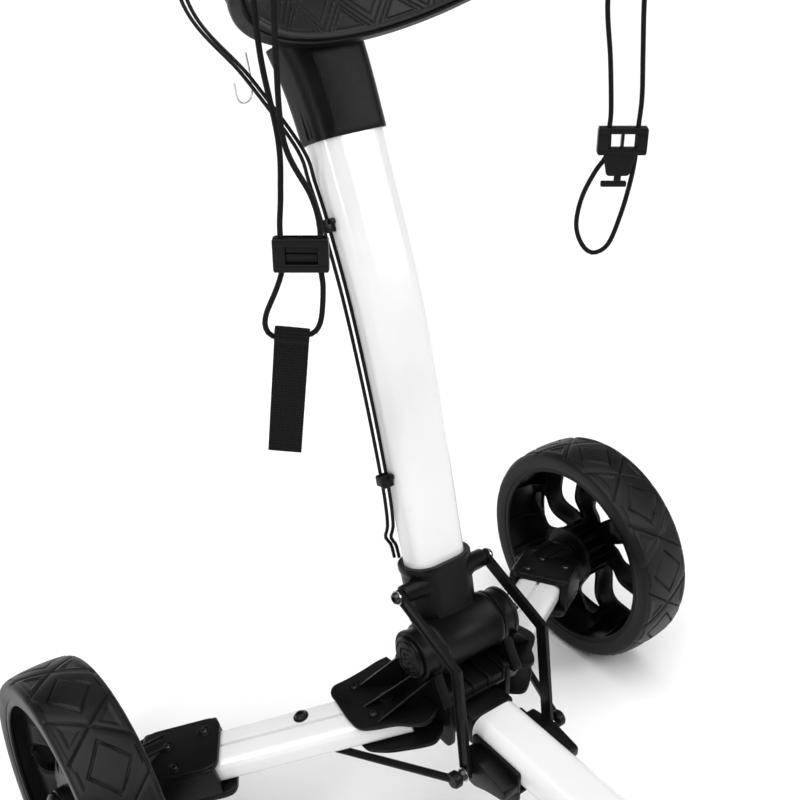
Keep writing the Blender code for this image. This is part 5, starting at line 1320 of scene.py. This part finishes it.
def make_hook():
    """Bent wire hook that hangs beside the cables under the cradle."""
    top = Vector((-0.0575, AXLE_Y + 0.08, 0.752))
    points = [top, top + Vector((0.0005, -0.004, -0.016)), top + Vector((-0.001, -0.008, -0.03))]
    centre = top + Vector((-0.0085, -0.0095, -0.03))
    for angle in range(0, 181, 15):
        a = math.radians(angle)
        points.append(centre + Vector((0.0075 * math.cos(a), 0.001, -0.0084 * math.sin(a))))
    points.append(points[-1] + Vector((-0.0012, 0.0, 0.009)))
    hook = round_curve("wire_hook", smooth_path(points, 0.002), 0.0008)
    dressed(hook, "mast", STEEL)


# ---------------------------------------------------------------- front arm, fork and lower cradle
FRONT_Z = 0.191
FRONT_W, FRONT_H = 0.05, 0.032


def make_front_arm():
    low, high = (Vector(v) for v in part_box("front_arm_tube"))
    arm = Piece("front_arm_shape")
    arm.add(skin([[(a, y, FRONT_Z + b) for a, b in rounded_box(FRONT_W, FRONT_H, 0.0125, 12)]
                  for y in np.linspace(high.y, low.y, 8)]))
    arm.finish("front_arm", WHITE, ("front_arm_tube",), 60.0)

    root = Piece("front_root_shape")
    inset = 0.0023
    root.add(skin([[(a, y, FRONT_Z + b) for a, b in
                    rounded_box(FRONT_W - 2 * inset, FRONT_H - 2 * inset, 0.0102, 10)]
                   for y in (high.y - 0.034, high.y + 0.003)]))
    root.add(brick((-0.0245, high.y + GAP, FRONT_Z - 0.0155), (0.0245, FRONT_PIVOT[0], FRONT_Z + 0.0155),
                   0.003, 3))
    root.add(drum(0.0175, 0.0245, 0.0007, 48, 0.0064), along_x(0, *FRONT_PIVOT))
    root.finish("front_arm", METAL_BLACK, ("front_root",))

    bracket = Piece("front_bracket_shape")
    side_in = FRONT_W / 2 + GAP
    ear = 0.0035
    floor = FRONT_Z - FRONT_H / 2 - GAP
    y0, y1 = AXLE_Y - 0.262, AXLE_Y - 0.2
    bracket.add(brick((-side_in - ear, y0, floor - ear), (side_in + ear, y1, floor), 0.001, 2))
    for side in SIDES:
        plane = side_plane(side)
        cheek = rounded([(y0, floor - ear), (y1, floor - ear), (y1, FRONT_Z + 0.006), (y0, FRONT_Z + 0.006)],
                        0.004, 4)
        bracket.add(slab(cheek, side_in, side_in + ear, 0.0007, 2), plane)
        outline = rounded([(AXLE_Y + y, z) for y, z in
                           ((-0.2, 0.186), (-0.206, 0.162), (-0.222, 0.16), (-0.24, 0.168),
                            (-0.262, floor), (-0.262, 0.186), (-0.228, 0.192))], 0.0035, 4)
        bracket.add(slab(outline, side_in + 0.001, LINK_X - 0.003, 0.0009, 2), plane)
        step = rounded([(AXLE_Y + y, z) for y, z in
                        ((-0.226, 0.152), (-0.246, 0.152), (-0.262, 0.1625), (-0.262, floor + 0.002),
                         (-0.222, floor + 0.002))], 0.003, 4)
        bracket.add(slab(step, side_in - 0.0008, side_in + ear + 0.0004, 0.0007, 2), plane)
    bracket.finish("front_arm", METAL_BLACK, ("front_bracket",), 38.0)


def make_fork():
    piece = Piece("front_fork_shape")
    front_low, front_high = (Vector(v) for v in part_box("front_wheel_tyre"))
    wheel = (front_low + front_high) / 2
    radius = (front_high.z - front_low.z) / 2
    fork_y = wheel.y + radius + 0.035
    piece.add(brick((-0.04, fork_y - 0.02, FRONT_Z - 0.018), (0.04, fork_y + 0.004, FRONT_Z + 0.018),
                    0.006, 4))
    wall = rounded_box(0.062, 0.044, 0.014, 10)
    hollow = rounded_box(FRONT_W + 0.0008, FRONT_H + 0.0008, 0.0127, 10)
    rings = [[(a, y, FRONT_Z + b) for a, b in ring] for y, ring in
             ((fork_y, hollow), (fork_y + 0.029, hollow),
              (fork_y + 0.03, rounded_box(0.054, 0.036, 0.013, 10)), (fork_y + 0.028, wall), (fork_y, wall))]
    piece.add(skin(rings, caps=False))
    half = (front_high.x - front_low.x) / 2 + 0.004
    outline = [(fork_y + 0.006, FRONT_Z + 0.015), (fork_y + 0.006, FRONT_Z - 0.015)]
    outline += [(wheel.y + 0.019 * math.cos(math.radians(a)), wheel.z + 0.019 * math.sin(math.radians(a)))
                for a in range(-60, -241, -15)]
    for side in SIDES:
        piece.add(slab(rounded(outline, 0.004, 3), half, half + 0.01, 0.003, 4), side_plane(side))
        piece.add(lathe([(0.0074, half + 0.009), (0.0165, half + 0.009), (0.016, half + 0.0112),
                         (0.012, half + 0.0116), (0.0074, half + 0.0116)], 48),
                  side_axis(side, wheel.y, wheel.z))
        rib = [(sign_of(side) * (half + 0.0098), wheel.y + (fork_y - wheel.y) * t,
                wheel.z + (FRONT_Z - wheel.z) * t) for t in (0.2, 0.86)]
        piece.add(tube(rib, [0.0032, 0.0048], 16))
    piece.finish("front_arm", BLACK, ("front_fork",), 40.0)


LOWER_CRADLE_AHEAD = 0.04
LOWER_CRADLE_DROP = 0.712           # down the bag from the upper cradle


def make_lower_cradle():
    place = Matrix.Translation((0, -LOWER_CRADLE_AHEAD, 0)) @ cradle_place(LOWER_CRADLE_DROP)
    inner, outer = CRADLE_R - 0.01, CRADLE_R - 0.001
    piece = Piece("lower_cradle_shape")
    reach = math.radians(56.0)
    rings, lips = [], []
    for turn in np.linspace(-reach, reach, 57):
        t = abs(turn) / reach
        high = 0.05 - 0.012 * max(0.0, t - 0.6) / 0.4
        section = [(inner, -0.005), (inner + 0.001, -0.006), (outer - 0.001, -0.006), (outer, -0.005),
                   (outer, -0.001), (outer - 0.0024, 0.001), (outer - 0.0024, high - 0.006),
                   (outer, high - 0.004), (outer, high - 0.001), (outer - 0.001, high), (inner + 0.001, high),
                   (inner, high - 0.001)]
        rings.append([(r * math.sin(turn), -inner + r * math.cos(turn), z) for r, z in section])
        lip = [(inner - 0.045, -0.0046), (inner - 0.0444, -0.0052), (inner + 0.004, -0.0052),
               (inner + 0.004, -0.0004), (inner - 0.0444, -0.0004), (inner - 0.045, -0.001)]
        lips.append([(r * math.sin(turn * 0.99), -inner + r * math.cos(turn * 0.99), z) for r, z in lip])
    piece.add(skin(rings), place)
    piece.add(skin(lips), place)
    for k in range(-4, 5):
        turn = Matrix.Translation((0, -inner, 0)) @ turned(math.radians(12.5 * k))
        piece.add(brick((-0.0012, inner - 0.04, -0.008), (0.0012, inner + 0.002, -0.0048), 0.0005, 1),
                  place @ turn)
    foot, surface_z = place.translation.yz
    top = FRONT_Z + FRONT_H / 2 + GAP
    post = rounded([(foot + 0.0062, top), (foot + 0.045, top), (foot + 0.045, top + 0.018),
                    (foot + 0.012, top + 0.035), (foot + 0.0062, surface_z - 0.004)], 0.003, 4)
    for side in SIDES:
        piece.add(slab(post, 0.017, 0.022, 0.001, 2), side_plane(side))
    piece.add(brick((-0.0215, foot + 0.0062, top), (0.0215, foot + 0.045, top + 0.005), 0.0015, 2))
    piece.add(brick((-0.018, foot + 0.01, top + 0.004), (0.018, foot + 0.015, top + 0.03), 0.001, 2))
    piece.finish("front_arm", BLACK, ("lower_cradle",), 38.0)


# ---------------------------------------------------------------- stem, handle and brake lever
STEM_FOOT_Z = 0.74
STEM_W, STEM_D = 0.04, 0.028
GRIP_R, GRIP_Z, GRIP_W, GRIP_H = 0.014, 0.056, 0.25, 0.118


def make_stem():
    foot = Vector((0, AXLE_Y + mast_axis(STEM_FOOT_Z), STEM_FOOT_Z))
    top = Vector((0, *STEM_TOP))
    up = (top - foot).normalized()
    back = Vector((0, up.z, -up.y))
    bar = Piece("stem_tube_shape")
    length = (top - foot).length - 0.026
    bar.add(skin([[foot + up * (length * t) + Vector((a, 0, 0)) + back * b
                   for a, b in rounded_box(STEM_W, STEM_D, 0.011, 10)] for t in np.linspace(0, 1, 6)]))
    bar.finish("mast", WHITE, ("stem_tube",), 60.0)

    head = Piece("stem_head_shape")
    # local Z points up the stem, and heights are counted from the hinge
    rings = [[(a, b, z) for a, b in rounded_box(w, d, c, 10)] for w, d, z, c in
             ((STEM_W + 0.0008, STEM_D + 0.0008, -0.061, 0.0113), (0.0485, 0.0365, -0.062, 0.0125),
              (0.05, 0.038, -0.0605, 0.013), (0.05, 0.038, -0.0165, 0.013), (0.048, 0.036, -0.0155, 0.0125))]
    head.add(skin(rings), placed(top, (1, 0, 0), back))
    line = along_x(0, *STEM_TOP)
    cheek = rounded([(-0.018, -0.018), (0.018, -0.018), (0.018, 0.006), (0.01, 0.0155), (-0.01, 0.0155),
                     (-0.018, 0.006)], 0.005, 5)
    for side in SIDES:
        head.add(slab(cheek, 0.0148, 0.0248, 0.0022, 3), mirror(placed(top, back, up), side))
        head.add(lathe([(0.0, 0.0246), (0.0092, 0.0246), (0.0088, 0.0249), (0.0055, 0.025), (0.005, 0.0242),
                        (0.0, 0.0242)], 32, False), mirror(line, side))
    head.add(pipe(0.0, 0.005, -0.024, 0.024, 28), line)
    head.finish("mast", BLACK, ("stem_head",), 38.0)


def make_handle():
    grip = placed((0, *STEM_TOP), (1, 0, 0), (0, math.cos(GRIP_LEAN), -math.sin(GRIP_LEAN)))
    yoke = Piece("handle_yoke_shape")
    yoke.add(lathe([(0.0054, -0.014), (0.0118, -0.014), (0.0125, -0.0132), (0.0125, 0.0132),
                    (0.0118, 0.014), (0.0054, 0.014)], 48), along_x(0, *STEM_TOP))
    neck = [[(a, b, z) for a, b in rounded_box(w, d, 0.006, 8)] for w, d, z in
            ((0.026, 0.02, 0.006), (0.026, 0.02, 0.024), (0.034, 0.026, 0.034), (0.046, 0.033, 0.04))]
    yoke.add(skin(neck), grip)
    clamp = [(0.0152, -0.026), (0.0172, -0.026), (0.0182, -0.0245), (0.0182, -0.012), (0.0176, -0.0112),
             (0.0176, 0.0112), (0.0182, 0.012), (0.0182, 0.0245), (0.0172, 0.026), (0.0152, 0.026)]
    yoke.add(lathe(clamp, 56), grip @ Matrix.Translation((0, 0, GRIP_Z)) @ turned(QUARTER, "Y"))
    for side in SIDES:
        ear = rounded([(-0.006, GRIP_Z + 0.012), (0.006, GRIP_Z + 0.012), (0.006, GRIP_Z + 0.034),
                       (-0.006, GRIP_Z + 0.034)], 0.005, 5)
        yoke.add(slab(ear, 0.0128, 0.0178, 0.0012, 2), mirror(grip, side) @ yz_plane())
    yoke.finish("handle", BLACK, ("handle_yoke",), 40.0)

    half, corner = GRIP_W / 2, 0.04

    def bend(x, z, start, end, steps=14):
        return [(x + corner * math.cos(math.radians(a)), z + corner * math.sin(math.radians(a)))
                for a in np.linspace(start, end, steps)]

    loop = [(0.0, 0.0), (0.032, 0.0)] + bend(half - corner - 0.022, corner, -90, -20)
    loop += bend(half - corner, GRIP_H - corner, 0, 90) + [(0.0, GRIP_H)]
    loop += bend(-half + corner, GRIP_H - corner, 90, 180) + bend(-half + corner + 0.022, corner, 200, 270)
    loop += [(-0.032, 0.0), (0.0, 0.0)]
    points = [grip @ Vector((x, 0, GRIP_Z + z)) for x, z in loop]
    points = smooth_path(points, 0.004)
    radii = []
    for point in points:
        local = grip.inverted() @ point
        near_bar = local.z < GRIP_Z + 0.012 and abs(local.x) < 0.046
        radii.append(0.0138 if near_bar else GRIP_R)
    bar = Piece("handle_grip_shape")
    bar.add(tube(points, radii, 32))
    bar.finish("handle", FOAM, ("handle_grip",), 60.0)
    rings = Piece("grip_end_rings")
    for side in SIDES:
        ring = grip @ Matrix.Translation((sign_of(side) * 0.052, 0, GRIP_Z + GRIP_H)) @ turned(QUARTER, "Y")
        rings.add(lathe([(GRIP_R - 0.001, -0.0035), (GRIP_R + 0.0004, -0.0032), (GRIP_R + 0.0007, 0.0),
                         (GRIP_R + 0.0004, 0.0032), (GRIP_R - 0.001, 0.0035)], 40), ring)
    rings.finish("handle", SMOOTH_BLACK)

    pivot = grip @ Matrix.Translation((0, 0, GRIP_Z + 0.026))
    lever = Piece("brake_lever_shape")
    sections = []
    for t in np.linspace(0, 1, 18):
        width = 0.023 * (1 - 0.22 * t ** 2) * (1 if t < 0.93 else 0.86)
        depth = 0.0072 * (1 - 0.25 * t)
        curl = -0.0016 * math.sin(math.pi * t)
        sections.append([(a, b + curl, 0.001 + 0.0605 * t) for a, b in
                         rounded_box(width, depth, min(depth, width) * 0.42, 6)])
    lever.add(skin(sections), pivot)
    lever.add(drum(0.0055, 0.0115, 0.0005, 32), pivot @ turned(QUARTER, "Y"))
    for z in np.arange(0.022, 0.052, 0.0045):
        lever.add(brick((-0.0075, 0.0022, z), (0.0075, 0.0036, z + 0.0016), 0.0004, 1), pivot)
    lever.finish("brake_lever", SMOOTH_BLACK, ("brake_lever",), 40.0)


# ---------------------------------------------------------------- CAD pieces that stay
def dress_cad():
    """Round plain pins and axles keep their CAD shape and take a finished material."""
    kept = {"fold_axle": STEEL, "front_arm_pin": STEEL, "front_axle": STEEL, "rear_axle_left": STEEL,
            "rear_axle_right": STEEL, "brake_pin_left": STEEL, "brake_pin_right": STEEL,
            "arm_pin_left": BOLT_BLACK, "arm_pin_right": BOLT_BLACK}
    for name, material in kept.items():
        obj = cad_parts[name]
        for place in obj.material_slots:
            place.material = material
        soften = obj.modifiers.new("soft edges", "BEVEL")
        soften.width = 0.0004
        soften.segments = 2


# ---------------------------------------------------------------- floor and light
def add_stage():
    mesh = bpy.data.meshes.new("floor")
    size = 12.0
    mesh.from_pydata([(-size, -size, 0), (size, -size, 0), (size, size, 0), (-size, size, 0)], [],
                     [(0, 1, 2, 3)])
    floor = bpy.data.objects.new("floor", mesh)
    n = Nodes("pale_floor")
    coords = n.add("ShaderNodeTexCoord").outputs["Object"]
    tone = n.ramp(n.noise(coords, 3.0), (0.95, 0.95, 0.95), (0.96, 0.96, 0.96))
    n.link(tone, n.shader.inputs["Base Color"])
    n.shader.inputs["Roughness"].default_value = 0.95
    n.shader.inputs["Specular IOR Level"].default_value = 0.05
    mesh.materials.append(n.material)
    bpy.context.scene.collection.objects.link(floor)

    world = bpy.data.worlds.new("studio")
    world.use_nodes = True
    tree = world.node_tree
    coords = tree.nodes.new("ShaderNodeTexCoord")
    split = tree.nodes.new("ShaderNodeSeparateXYZ")
    fade = tree.nodes.new("ShaderNodeValToRGB")
    fade.color_ramp.elements[0].position = 0.04
    fade.color_ramp.elements[0].color = (1.0, 1.0, 1.0, 1)
    fade.color_ramp.elements[1].position = 0.24
    fade.color_ramp.elements[1].color = (0.16, 0.16, 0.16, 1)
    tree.links.new(coords.outputs["Generated"], split.inputs["Vector"])
    tree.links.new(split.outputs["Z"], fade.inputs["Fac"])
    tree.links.new(fade.outputs["Color"], tree.nodes["Background"].inputs["Color"])
    bpy.context.scene.world = world

    def light(name, kind, location, aim, energy):
        data = bpy.data.lights.new(name, kind)
        data.energy = energy
        made = bpy.data.objects.new(name, data)
        made.location = location
        made.rotation_euler = (Vector(aim) - Vector(location)).to_track_quat("-Z", "Y").to_euler()
        bpy.context.scene.collection.objects.link(made)
        return data

    target = (0, AXLE_Y - 0.1, 0.4)
    light("overhead", "SUN", (-0.5, -0.3, 3.2), target, 2.9).angle = math.radians(70.0)
    for name, location, size, power in (("left_box", (-1.9, -0.5, 1.5), (0.35, 1.2), 13.0),
                                        ("right_box", (1.3, -1.6, 1.7), (0.35, 1.0), 18.0)):
        box = light(name, "AREA", location, target, power)
        box.shape = "RECTANGLE"
        box.size, box.size_y = size
    bpy.context.scene.view_settings.view_transform = "Standard"


add_camera()
make_bungees()
make_wheels()
for side in SIDES:
    make_rear_arm(side)
    make_side_bracket(side)
    make_link(side)
make_mast()
make_knuckle()
make_collar()
make_cradle()
make_cables()
make_hook()
make_front_arm()
make_fork()
make_lower_cradle()
make_stem()
make_handle()
dress_cad()
add_stage()
